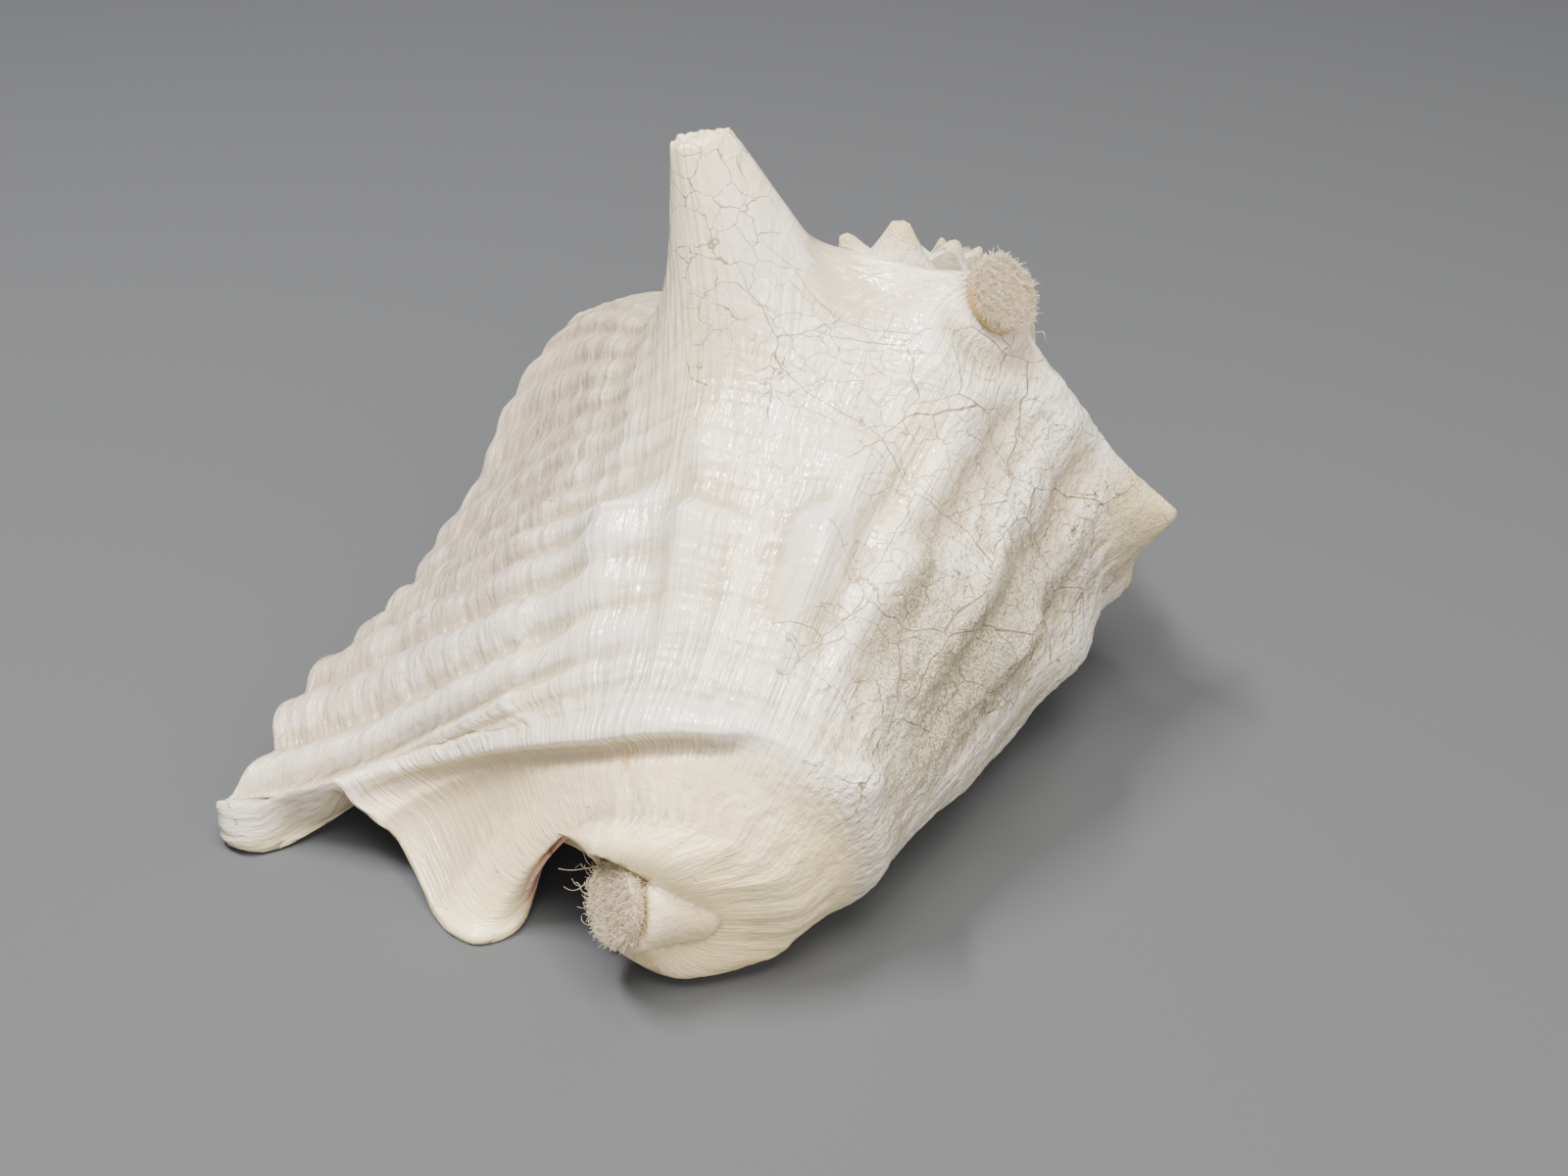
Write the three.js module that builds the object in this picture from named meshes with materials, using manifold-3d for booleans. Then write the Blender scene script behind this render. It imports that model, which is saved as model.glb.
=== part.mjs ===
// Queen conch shell, bleached white, lying with its opening down, with two felt pads glued to it.
// Millimetres, +Z up. The table is z = 0 and the spire points along +Y.
//
// The shell is drawn about its own axis: the apex is the origin, the spire points along +Y, and a
// turn is an angle in degrees round that axis, from +X towards +Z, that keeps counting as the
// shell grows. A row runs down the side of a whorl, from 0 at the seam to 1 at the front end.
import * as THREE from "three";
import { mergeVertices } from "three/addons/utils/BufferGeometryUtils.js";
import Module from "manifold-3d";

const DEGREE = Math.PI / 180;

// How the shell lies.
const TIP_TILT = 16; // degrees that the spire end is lifted
const APEX_HEIGHT = 76; // height of the apex above the table
const CENTRE_X = -21; // middle of the shell's outline, which becomes the origin
const CENTRE_Y = -111.5;

// How the shell grows.
const GROWTH = 1.5; // times larger in each turn
const REFERENCE_TURN = 61; // the turn at which the sections below are drawn at full size
const LIP_TURN = 118; // where the last whorl leaves the spiral and flares into the lip
const EDGE_TURN = 178; // the lip's edge, on the same count
const WRAP_START = -82; // where the last whorl starts, hidden inside the earlier ones
const CORE_END = -64; // where the earlier whorls end, hidden inside the last one
const CORE_WHORLS = 4; // turns of the earlier whorls
const CORE_STEPS = 40; // columns in each of those turns

// Sections of a whorl, from the seam to the front end: radius and height at each row.
const SHOULDER = 0.14; // the row of the knobs
const SEAM = 0.175; // the row that the next whorl's seam follows
const CREST = 0.72; // the row of the front ridge
const TUCK = -0.03; // the row that is tucked under the whorl before
const ROW = [TUCK, 0, 0.07, SHOULDER, 0.24, 0.36, 0.48, 0.6, 0.68, CREST, 0.78, 0.86, 0.93, 0.97, 1];
const OUTER_R = [34, 38, 45, 56, 57, 54.5, 50, 44, 39.5, 38, 32, 27, 21.5, 15, 2];
const OUTER_Y = [-60, -63, -77, -88, -103, -122, -145, -170, -187, -195, -202, -209, -216, -220.5, -222];
// The same where the opening is, and the inside wall runs down to the pillar.
const PILLAR_R = [34, 38, 45, 56, 54, 46, 33, 21, 16.5, 15, 14, 12, 11, 10.5, 9];
const PILLAR_UNTIL = -165; // turn up to which the pillar's section holds
const OUTER_FROM = [-95, 35]; // turn from which the outer one holds, at the shoulder and at the front
const OPENING_ROWS = [0.36, 0.7]; // rows over which it goes from the one to the other
const FRONT_BEND = [-9, 0, 6]; // how far the front tip bends towards the canal and down
const BEND_FROM = 0.88; // the row where that bend starts
const TIP_Y = -223; // the very front of the pillar

// Knobs on the shoulder, in mm: turn, height, radius of the tip, how fast the flanks fall, lean to
// the spire, how many times further the flank runs on towards the front, and for a knob that leans
// sideways the turn that it leans towards.
const KNOBS = [
  { turn: 155, height: 3, tip: 0, fall: 12, lean: 0.2, run: 1.3 },
  { turn: 109.3, height: 41, tip: 6, fall: 10.5, lean: 0.22, run: 1.3 },
  { turn: 67, height: 16, tip: 5.5, fall: 8, lean: -0.1, run: 1.6, towards: 42 },
  { turn: -0.1, height: 15.5, tip: 1.5, fall: 12, lean: 0.02, run: 1.3 },
  { turn: -28, height: 11.5, tip: 2, fall: 12, lean: 0.2, run: 3.6 },
  { turn: -91, height: 15.5, tip: 3, fall: 11, lean: 0.1, run: 1.5 },
];
const OLD_KNOB = { first: -136, step: 45, height: 20, tip: 1.5, fall: 8, lean: 0.4, run: 1.3 };
const WORN_KNOBS = { turn: -338, half: 45, loss: 0.7 }; // the old knobs that the last whorl half buries
const KNOB_REACH = 75; // degrees over which a knob is felt
const KNOB_EDGE = 1.15; // how sharply a knob's flank turns down
const FLARE_STRETCH = 1.6; // how much wider a degree is on the lip than on the whorl
const KEEL = { height: 4.5, half: 10, from: -75, to: 40, fade: 22 }; // low ridge that joins the knobs

// Low lumps on the side: turn, row, height, half-width round and along the shell in mm, and lean.
const LUMPS = [
  { turn: 109, row: 0.45, height: 4, round: 9, along: 14 },
  { turn: 74, row: 0.45, height: 3.5, round: 8, along: 12 },
  { turn: 68, row: 0.55, height: 3, round: 8, along: 8 },
  { turn: 47, row: 0.5, height: 3, round: 8, along: 12 },
  { turn: 14, row: 0.45, height: 3, round: 9, along: 12 },
  { turn: -20, row: 0.36, height: 5, round: 10, along: 14 },
  { turn: 34, row: 0.7, height: 4, round: 5, along: 5 },
  { turn: -34, row: 0.46, height: 3, round: 12, along: 14 },
  { turn: -72, row: 0.95, height: 3.5, round: 14, along: 10, lean: -2 },
];

// Folds of the lip: the row of each fold's crest at the lip's edge.
const FOLD_ROW = [0.14, 0.18, 0.215, 0.25, 0.285, 0.32, 0.355, 0.39, 0.425, 0.465, 0.515, 0.565, 0.635, 0.72];
const FOLD_HEIGHT = [0.6, 0.8, 0.8, 0.8, 0.8, 0.8, 1, 1.2, 1.8, 2.2, 2.6, 3, 3.2, 0.5];
const FOLD_GROWS = [105, 150]; // turns over which the folds reach their full height
const CREST_HEIGHT = 1.2;
const CREST_GROWS = [20, 45]; // turns over which the front ridge starts
const CREST_HALF = 0.018; // half-width of the ridge, in rows

// The lip's edge as the shell lies on the table: row, then x, y and z.
const LIP_EDGE = [
  [TUCK, -42, -50, 63],
  [0, -50, -48, 65],
  [0.05, -64, -43, 66],
  [0.1, -79, -45, 66.5],
  [SHOULDER, -91, -51, 64],
  [0.19, -100, -54, 54],
  [0.24, -106, -66, 43],
  [0.3, -106, -85, 32],
  [0.36, -106, -108, 27],
  [0.42, -106, -130, 22],
  [0.48, -110, -148, 18],
  [0.53, -113, -164, 16],
  [0.57, -113, -178, 14],
  [0.61, -111, -190, 13],
  [0.64, -113, -199, 11],
  [0.665, -115.5, -204.5, 9.5],
  [0.69, -103, -202.5, 12.5],
  [0.705, -94, -201, 16],
  [CREST, -86, -200, 20],
  [0.745, -81, -200.5, 16],
  [0.765, -76, -200.5, 13],
  [0.785, -71, -200.5, 8.5],
  [0.81, -61.5, -208, 3.5],
  [0.83, -57, -212, 1.5],
  [0.855, -50, -216, 0.5],
  [0.875, -44, -216.5, 0.5],
  [0.895, -39, -212, 1],
  [0.91, -37.5, -207, 3],
  [0.93, -37.5, -202, 9.5],
  [0.945, -37.3, -200, 15.5],
  [0.955, -34, -200.5, 19.5],
  [0.965, -29, -202, 21],
  [0.973, -23.5, -203.5, 21],
  [0.98, -20, -206, 18.5],
  [0.987, -22, -208, 12],
  [0.994, -20, -209, 6],
  [1, -13, -209, 2],
];
// The way that the lip runs as it reaches its edge: row, then x, y and z.
const LIP_ARRIVAL = [
  [TUCK, -0.8, 0, -0.6],
  [0.5, -0.85, -0.1, -0.5],
  [0.62, -0.9, -0.2, -0.2],
  [0.7, -0.6, -0.7, 0.1],
  [0.8, -0.4, -0.8, -0.4],
  [0.9, -0.3, -0.8, -0.5],
  [0.955, -0.8, -0.5, -0.2],
  [1, -0.8, -0.3, -0.4],
];
const WALL = 4.5; // thickness of the whorl's wall
const WALL_FADE = 10; // degrees before the lip where it starts to change to the edge's own
const EDGE_WALL_ROW = [0, SHOULDER, 0.3, 0.5, 0.6, 0.665, 0.69, 0.705, CREST, 0.78, 0.86, 0.9, 0.94, 1];
const EDGE_WALL = [4, 5, 6.5, 7.5, 9, 10, 12, 11, 4, 3.5, 4.5, 4, 2.5, 2.5];

const mix = (a, b, t) => a + (b - a) * t;
const ease = (from, to, x) => {
  const t = Math.min(Math.max((x - from) / (to - from), 0), 1);
  return t * t * (3 - 2 * t);
};

// A smooth curve through ys at xs, read at x.
function through(xs, ys, x) {
  const last = xs.length - 1;
  let i = 0;
  while (i < last - 1 && x > xs[i + 1]) i += 1;
  const slope = (k) => {
    const a = Math.max(k - 1, 0);
    const b = Math.min(k + 1, last);
    return (ys[b] - ys[a]) / (xs[b] - xs[a]);
  };
  const span = xs[i + 1] - xs[i];
  const t = (x - xs[i]) / span;
  const rise = ys[i + 1] - ys[i];
  const bend = (slope(i) * span - rise) * (1 - t) - (slope(i + 1) * span - rise) * t;
  return ys[i] + rise * t + bend * t * (1 - t);
}

const size = (turn) => GROWTH ** ((turn - REFERENCE_TURN) / 360);

// Radius and height of the smooth whorl. Only its spire side grows: the front end keeps its place.
function section(turn, row) {
  const full = ease(PILLAR_UNTIL, mix(...OUTER_FROM, ease(...OPENING_ROWS, row)), turn);
  const scale = size(turn) ** (1 - ease(SHOULDER, CREST, row));
  const r = mix(through(ROW, PILLAR_R, row), through(ROW, OUTER_R, row), full);
  return [r * scale, through(ROW, OUTER_Y, row) * scale];
}

function smoothWhorl(turn, row) {
  const [r, y] = section(turn, row);
  const point = new THREE.Vector3(r * Math.cos(turn * DEGREE), y, r * Math.sin(turn * DEGREE));
  return point.addScaledVector(new THREE.Vector3(...FRONT_BEND), ease(BEND_FROM, 1, row));
}

function knobsNear(turn) {
  const near = KNOBS.filter((knob) => Math.abs(knob.turn - turn) < KNOB_REACH);
  const scale = size(turn);
  const nearest = Math.round((OLD_KNOB.first - turn) / OLD_KNOB.step);
  for (let n = Math.max(0, nearest - 2); n <= nearest + 2; n += 1) {
    const knobTurn = OLD_KNOB.first - n * OLD_KNOB.step;
    const worn = WORN_KNOBS.loss * Math.exp(-(((knobTurn - WORN_KNOBS.turn) / WORN_KNOBS.half) ** 2));
    near.push({ ...OLD_KNOB, turn: knobTurn, scale, height: OLD_KNOB.height * (1 - worn) });
  }
  return near;
}

// How far the knobs and lumps lift a point off the smooth surface.
function lift(turn, row) {
  const whorlTurn = Math.min(turn, LIP_TURN);
  const [r, y] = section(whorlTurn, row);
  const [shoulderR, shoulderY] = section(whorlTurn, SHOULDER);
  const down = Math.hypot(r - shoulderR, y - shoulderY);
  const place = whorlTurn + (turn - whorlTurn) * FLARE_STRETCH;
  const total = new THREE.Vector3();
  const raise = (height, towards, lean) => {
    const way = new THREE.Vector3(Math.cos(towards * DEGREE), lean, Math.sin(towards * DEGREE));
    total.addScaledVector(way, height);
  };
  for (const knob of knobsNear(place)) {
    const across = shoulderR * (place - knob.turn) * DEGREE;
    const along = row < SHOULDER ? down : down / knob.run;
    const scale = knob.scale ?? 1;
    const away = Math.max(Math.hypot(across, along) / scale - knob.tip, 0) / knob.fall;
    raise(knob.height * scale * Math.exp(-(away ** KNOB_EDGE)), knob.towards ?? knob.turn, knob.lean);
  }
  const keelStart = ease(KEEL.from - KEEL.fade, KEEL.from, place);
  const keelEnd = ease(KEEL.to, KEEL.to + KEEL.fade, place);
  raise(KEEL.height * keelStart * (1 - keelEnd) * Math.exp(-((down / KEEL.half) ** 2)), whorlTurn, 0);
  for (const lump of LUMPS) {
    const [lumpR, lumpY] = section(whorlTurn, lump.row);
    const across = (lumpR * (place - lump.turn) * DEGREE) / lump.round;
    const along = Math.hypot(r - lumpR, y - lumpY) / lump.along;
    raise(lump.height * Math.exp(-(across ** 2) - along ** 2), whorlTurn, lump.lean ?? 0);
  }
  return total;
}

// From the shell's own frame to the way it lies on the table.
const LIE = new THREE.Matrix4()
  .makeTranslation(-CENTRE_X, -CENTRE_Y, APEX_HEIGHT)
  .multiply(new THREE.Matrix4().makeRotationX(TIP_TILT * DEGREE));
const LIE_INVERSE = LIE.clone().invert();
const TO_CENTRE = new THREE.Matrix4().makeTranslation(-CENTRE_X, -CENTRE_Y, 0);
const EDGE_TO_SHELL = LIE_INVERSE.clone().multiply(TO_CENTRE);

const columnOf = (table, k) => table.map((line) => line[k]);
const readTable = (table, row) =>
  new THREE.Vector3(...[1, 2, 3].map((k) => through(columnOf(table, 0), columnOf(table, k), row)));

// A point on the smooth last whorl and its lip, which leaves the whorl along its own curve.
function smoothWrap(turn, row) {
  if (turn <= LIP_TURN) return smoothWhorl(turn, row);
  const t = (turn - LIP_TURN) / (EDGE_TURN - LIP_TURN);
  const from = smoothWhorl(LIP_TURN, row);
  const to = readTable(LIP_EDGE, row).applyMatrix4(EDGE_TO_SHELL);
  const reach = from.distanceTo(to);
  const leave = from.clone().sub(smoothWhorl(LIP_TURN - 1, row)).setLength(reach);
  const arrive = readTable(LIP_ARRIVAL, row).transformDirection(EDGE_TO_SHELL).setLength(reach);
  return new THREE.Vector3()
    .addScaledVector(from, 1 + t * t * (2 * t - 3))
    .addScaledVector(leave, t * (1 - t) ** 2)
    .addScaledVector(to, t * t * (3 - 2 * t))
    .addScaledVector(arrive, t * t * (t - 1));
}

function normalAt(turn, row) {
  const step = 0.5; // degrees
  const rowStep = 0.004;
  const a = smoothWrap(turn - step, row).sub(smoothWrap(Math.min(turn + step, EDGE_TURN), row));
  const b = smoothWrap(turn, Math.min(row + rowStep, 1)).sub(smoothWrap(turn, row - rowStep));
  return b.cross(a).normalize();
}

// Height of the folds and of the front ridge.
function relief(turn, row) {
  const place = through(FOLD_ROW, FOLD_ROW.map((_, k) => k), Math.min(Math.max(row, FOLD_ROW[0]), CREST));
  const wave = 0.5 + 0.5 * Math.cos(2 * Math.PI * place);
  const height = through(FOLD_ROW, FOLD_HEIGHT, Math.min(Math.max(row, FOLD_ROW[0]), CREST));
  const strength = mix(0.15 * ease(20, 100, turn), 1, ease(...FOLD_GROWS, turn));
  const fold = row > FOLD_ROW[0] && row < CREST ? wave * height * strength : 0;
  const crest = CREST_HEIGHT * Math.exp(-(((row - CREST) / CREST_HALF) ** 2)) * ease(...CREST_GROWS, turn);
  return fold + crest;
}

// The shell's underside is flattened where it comes near the table.
const BELLY_FROM = 6; // mm above the table
const BELLY_LEFT = -3; // height that the lowest places come close to

function settled(point) {
  point.applyMatrix4(LIE);
  const range = BELLY_FROM - BELLY_LEFT;
  if (point.z < BELLY_FROM) point.z = BELLY_LEFT + range * Math.exp((point.z - BELLY_FROM) / range);
  return point.applyMatrix4(LIE_INVERSE);
}

// The last whorl starts a little below the surface of the earlier ones and comes out through it.
const START_SINK = 1.2;
const START_RISE = 0.15;
const RISE_FADE = 15; // degrees

function outerPoint(turn, row) {
  const sink = START_SINK * (1 - ease(WRAP_START, CORE_END - 2, turn));
  const rise = START_RISE * (1 - ease(CORE_END, CORE_END + RISE_FADE, turn));
  return settled(
    smoothWrap(turn, row)
      .addScaledVector(normalAt(turn, row), relief(turn, row) - sink + rise)
      .add(lift(turn, row)),
  );
}

function innerPoint(turn, row) {
  const flare = ease(LIP_TURN - WALL_FADE, EDGE_TURN, turn);
  const wall = mix(WALL, through(EDGE_WALL_ROW, EDGE_WALL, Math.max(row, 0)), flare);
  return smoothWrap(turn, row).addScaledVector(normalAt(turn, row), -wall);
}

function corePoint(turn, row) {
  return settled(smoothWhorl(turn, row).add(lift(turn, row)));
}

const wasm = await Module();
wasm.setup();

function solidFrom(points, triangles) {
  const made = new wasm.Manifold(
    new wasm.Mesh({
      numProp: 3,
      vertProperties: new Float32Array(points.flatMap((point) => point.toArray())),
      triVerts: new Uint32Array(triangles.flat()),
    }),
  );
  return made;
}

// The two triangles of a four-sided face.
const quad = (a, b, c, d) => [
  [a, b, c],
  [a, c, d],
];

function spread(stops, most) {
  const places = [];
  for (let i = 0; i < stops.length - 1; i += 1) {
    const count = Math.ceil((stops[i + 1] - stops[i]) / most - 1e-6);
    for (let k = 0; k < count; k += 1) places.push(mix(stops[i], stops[i + 1], k / count));
  }
  places.push(stops.at(-1));
  return places;
}

const LONGEST_STEP = 8.2; // degrees between two columns of the last whorl, at most

// The last whorl and its lip: a thick sheet, closed at its four edges.
function lastWhorl() {
  const spineTurns = [-40, -31, -20, -8, -0.1, 8, 20, 40, 53, 60.9, 69, 80, 98, 104, 108, 112];
  const turns = spread([WRAP_START, CORE_END, ...spineTurns, LIP_TURN, EDGE_TURN], LONGEST_STEP);
  const shoulderRows = [TUCK, 0, 0.05, 0.09, 0.12, SHOULDER, 0.16, 0.19, 0.23];
  const sideRows = [0.28, 0.33, 0.38, 0.425, 0.445, 0.465, 0.49, 0.515, 0.54, 0.565, 0.6, 0.635, 0.665, 0.695];
  const frontRows = [CREST, 0.75, 0.785, 0.83, 0.865, 0.9, 0.93, 0.95, 0.967, 0.98, 0.99, 1];
  const rows = [...shoulderRows, ...sideRows, ...frontRows];
  const points = [];
  const triangles = [];
  const nr = rows.length;
  const outer = (i, j) => i * nr + j;
  const inner = (i, j) => turns.length * nr + i * nr + j;
  turns.forEach((turn) => rows.forEach((row) => points.push(outerPoint(turn, row))));
  turns.forEach((turn) => rows.forEach((row) => points.push(innerPoint(turn, row))));
  const last = turns.length - 1;
  for (let i = 0; i < last; i += 1) {
    for (let j = 0; j < nr - 1; j += 1) {
      triangles.push(...quad(outer(i, j), outer(i + 1, j), outer(i + 1, j + 1), outer(i, j + 1)));
      triangles.push(...quad(inner(i, j), inner(i, j + 1), inner(i + 1, j + 1), inner(i + 1, j)));
    }
    triangles.push(...quad(outer(i, 0), inner(i, 0), inner(i + 1, 0), outer(i + 1, 0)));
    triangles.push(...quad(outer(i, nr - 1), outer(i + 1, nr - 1), inner(i + 1, nr - 1), inner(i, nr - 1)));
  }
  for (let j = 0; j < nr - 1; j += 1) {
    triangles.push(...quad(outer(0, j), outer(0, j + 1), inner(0, j + 1), inner(0, j)));
    triangles.push(...quad(outer(last, j), inner(last, j), inner(last, j + 1), outer(last, j + 1)));
  }
  return solidFrom(points, triangles);
}

// The earlier whorls down to the pillar: one spiral sheet whose every turn starts on the seam row
// of the turn before, closed by a fan at the apex, one at the front end and a flat end face.
function earlierWhorls() {
  const spireRows = [0, 0.05, 0.1, SHOULDER, 0.155, SEAM];
  const frontRows = [0.215, 0.26, 0.32, 0.4, 0.48, 0.56, 0.64, CREST, 0.8, 0.88, 0.94, 0.97, 1];
  const columns = CORE_WHORLS * CORE_STEPS + 1;
  const seam = spireRows.length - 1;
  const front = columns - 1 - CORE_STEPS; // the first column that shows its front rows
  const points = [];
  const index = new Map();
  const at = (i, j) => {
    if (j === 0 && i >= CORE_STEPS) return at(i - CORE_STEPS, seam);
    const key = `${i} ${j}`;
    if (!index.has(key)) {
      const turn = CORE_END - (columns - 1 - i) * (360 / CORE_STEPS);
      const row = j <= seam ? spireRows[j] : frontRows[j - seam - 1];
      index.set(key, points.push(corePoint(turn, row)) - 1);
    }
    return index.get(key);
  };
  const triangles = [];
  const rowCount = spireRows.length + frontRows.length;
  for (let i = 0; i < columns - 1; i += 1) {
    for (let j = 0; j < (i >= front ? rowCount : spireRows.length) - 1; j += 1) {
      triangles.push(...quad(at(i, j), at(i + 1, j), at(i + 1, j + 1), at(i, j + 1)));
    }
  }
  const apex = points.push(new THREE.Vector3(0, 1, 0)) - 1;
  for (let i = 0; i < CORE_STEPS; i += 1) triangles.push([apex, at(i + 1, 0), at(i, 0)]);
  for (let j = 0; j < seam; j += 1) triangles.push([apex, at(0, j), at(0, j + 1)]);
  const end = columns - 1;
  const bottom = rowCount - 1;
  const tip = points.push(new THREE.Vector3(0, TIP_Y, 0).add(new THREE.Vector3(...FRONT_BEND))) - 1;
  for (let i = front; i < end; i += 1) triangles.push([tip, at(i, bottom), at(i + 1, bottom)]);
  triangles.push([tip, at(end, bottom), at(front, bottom)]);
  for (let j = 1; j < seam; j += 1) triangles.push([at(end, 0), at(end, j + 1), at(end, j)]);
  for (let j = seam; j < bottom; j += 1) {
    triangles.push(...quad(at(end, j), at(front, j), at(front, j + 1), at(end, j + 1)));
  }
  return solidFrom(points, triangles);
}

function meshOf(name, solid, material) {
  const { vertProperties, triVerts } = solid.getMesh();
  const geometry = new THREE.BufferGeometry()
    .setAttribute("position", new THREE.BufferAttribute(vertProperties, 3))
    .setIndex(new THREE.BufferAttribute(triVerts, 1));
  geometry.computeVertexNormals();
  const mesh = new THREE.Mesh(geometry, material);
  mesh.name = name;
  return mesh;
}

// The corners and triangles of one of three.js's own closed shapes, as a solid.
function solidOf(geometry) {
  geometry.deleteAttribute("normal");
  geometry.deleteAttribute("uv");
  const merged = mergeVertices(geometry);
  return new wasm.Manifold(
    new wasm.Mesh({
      numProp: 3,
      vertProperties: merged.attributes.position.array,
      triVerts: new Uint32Array(merged.index.array),
    }),
  );
}

// Where the felt pads are glued: middle of each pad's outer face, the way that it faces, and the
// shell material under it: a blunt cone as deep and as wide at its foot as given, with the shell
// cleared away over its seat as far round as given.
const PADS = {
  spine_felt_pad: {
    centre: [34.5, -98.8, 112.6],
    facing: [0.743, -0.335, 0.578],
    deep: 19,
    foot: 19,
    clear: 14,
  },
  canal_felt_pad: {
    centre: [-12.1, -218.7, 22.9],
    facing: [-0.61, -0.72, 0.31],
    deep: 16,
    foot: 9,
    clear: 10.3,
  },
};
const PAD_RADIUS = 9.7;
const PAD_THICK = 4;
const GLUE_GAP = 0.3;
const PAD_SIDES = 20;
const SEAT_EDGE = 0.5; // how far the flat seat reaches past the pad
const SEAT_CUT = 14; // how far above the seat the shell is cleared away

// Stands a piece drawn along +Y on a pad's outer face, or below it.
function placeOnPad(object, { centre, facing }, below) {
  const normal = new THREE.Vector3(...facing).normalize();
  object.position.set(...centre).applyMatrix4(TO_CENTRE).addScaledVector(normal, -below);
  object.quaternion.setFromUnitVectors(new THREE.Vector3(0, 1, 0), normal);
  object.updateMatrix();
  return object.matrix;
}

// The shell with a flat seat for a pad: the knob is filled out under it and cut flat.
function withSeat(whole, pad) {
  const flat = PAD_RADIUS + SEAT_EDGE;
  const profile = [[0, -pad.deep], [pad.foot, -pad.deep], [flat, 0], [0, 0]];
  const boss = new THREE.LatheGeometry(profile.map((corner) => new THREE.Vector2(...corner)), PAD_SIDES);
  const cut = new THREE.CylinderGeometry(pad.clear, pad.clear, SEAT_CUT, PAD_SIDES);
  cut.translate(0, SEAT_CUT / 2, 0);
  const matrix = placeOnPad(new THREE.Object3D(), pad, PAD_THICK + GLUE_GAP);
  return whole.add(solidOf(boss.applyMatrix4(matrix))).subtract(solidOf(cut.applyMatrix4(matrix)));
}

// The shell, laid on the table: what would dip below it is worn away to a small flat.
function shell() {
  const side = 400;
  const deep = 20;
  const table = new THREE.BoxGeometry(side, side, deep).translate(0, 0, -deep / 2);
  let whole = earlierWhorls().add(lastWhorl()).transform(LIE.elements);
  for (const pad of Object.values(PADS)) whole = withSeat(whole, pad);
  const lime = new THREE.MeshStandardMaterial({ color: 0xe9e3da, roughness: 0.4, metalness: 0 });
  return meshOf("shell", whole.subtract(solidOf(table)), lime);
}

// A round of thick felt, its rim rounded, turned to face out from the shell.
function feltPad(name, pad) {
  const foot = 0.6; // how much the glued face is smaller
  const round = 1.2; // rounding of the rim
  const bulge = 0.4; // how much the middle stands proud of the rim
  const profile = [
    [0, 0],
    [PAD_RADIUS - foot, 0],
    [PAD_RADIUS, foot],
    [PAD_RADIUS, PAD_THICK - bulge - round],
    [PAD_RADIUS - round, PAD_THICK - bulge],
    [0, PAD_THICK],
  ].map(([r, height]) => new THREE.Vector2(r, height - PAD_THICK));
  const geometry = new THREE.LatheGeometry(profile, PAD_SIDES);
  geometry.deleteAttribute("normal");
  geometry.deleteAttribute("uv");
  const felt = new THREE.MeshStandardMaterial({ color: 0xb9ad97, roughness: 0.95, metalness: 0 });
  const mesh = new THREE.Mesh(mergeVertices(geometry), felt);
  mesh.geometry.computeVertexNormals();
  mesh.name = name;
  placeOnPad(mesh, pad, 0);
  return mesh;
}

const group = new THREE.Group();
group.add(shell());
for (const [name, pad] of Object.entries(PADS)) group.add(feltPad(name, pad));

export default group;
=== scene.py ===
import math
import bmesh
import bpy
import numpy as np
from mathutils import Matrix, Vector, kdtree, noise


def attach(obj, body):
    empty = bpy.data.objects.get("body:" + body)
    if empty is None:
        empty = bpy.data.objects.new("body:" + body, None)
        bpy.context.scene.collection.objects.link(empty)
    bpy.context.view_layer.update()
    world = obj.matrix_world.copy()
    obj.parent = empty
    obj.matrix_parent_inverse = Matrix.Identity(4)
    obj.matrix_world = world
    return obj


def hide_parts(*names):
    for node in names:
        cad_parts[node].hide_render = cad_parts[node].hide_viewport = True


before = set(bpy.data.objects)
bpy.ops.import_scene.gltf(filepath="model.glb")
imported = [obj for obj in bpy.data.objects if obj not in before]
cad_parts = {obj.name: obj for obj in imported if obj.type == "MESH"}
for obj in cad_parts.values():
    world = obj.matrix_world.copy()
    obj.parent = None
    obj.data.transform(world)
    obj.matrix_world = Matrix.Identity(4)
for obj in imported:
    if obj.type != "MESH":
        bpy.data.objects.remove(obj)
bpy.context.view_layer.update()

# The shell
# A queen conch shell, bleached white: lime that the animal laid down in layers as it grew.
# It is drawn about its own axis as it grew: a turn is an angle round the axis that keeps counting,
# and a row runs down the side of a whorl, from 0 at the seam to 1 at the front end.
TIP_TILT = 16
APEX_HEIGHT = 76
CENTRE_X = -21
CENTRE_Y = -111.5
GROWTH = 1.5
REFERENCE_TURN = 61
LIP_TURN = 118
EDGE_TURN = 178
WRAP_START = -82
CORE_END = -64
CORE_WHORLS = 4
CORE_STEPS = 120
CORE_RELIEF = 0.8
SHOULDER = 0.14
SEAM = 0.175
CREST = 0.72
TUCK = -0.03
ROW = [TUCK, 0, 0.07, SHOULDER, 0.24, 0.36, 0.48, 0.6, 0.68, CREST, 0.78, 0.86, 0.93, 0.97, 1]
OUTER_R = [34, 38, 45, 56, 57, 54.5, 50, 44, 39.5, 38, 32, 27, 21.5, 15, 2]
OUTER_Y = [-60, -63, -77, -88, -103, -122, -145, -170, -187, -195, -202, -209, -216, -220.5, -222]
PILLAR_R = [34, 38, 45, 56, 54, 46, 33, 21, 16.5, 15, 14, 12, 11, 10.5, 9]
PILLAR_UNTIL = -165
OUTER_FROM = (-95, 35)
OPENING_ROWS = (0.36, 0.7)
FRONT_BEND = (-9, 0, 6)
BEND_FROM = 0.88
TIP_Y = -223
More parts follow.
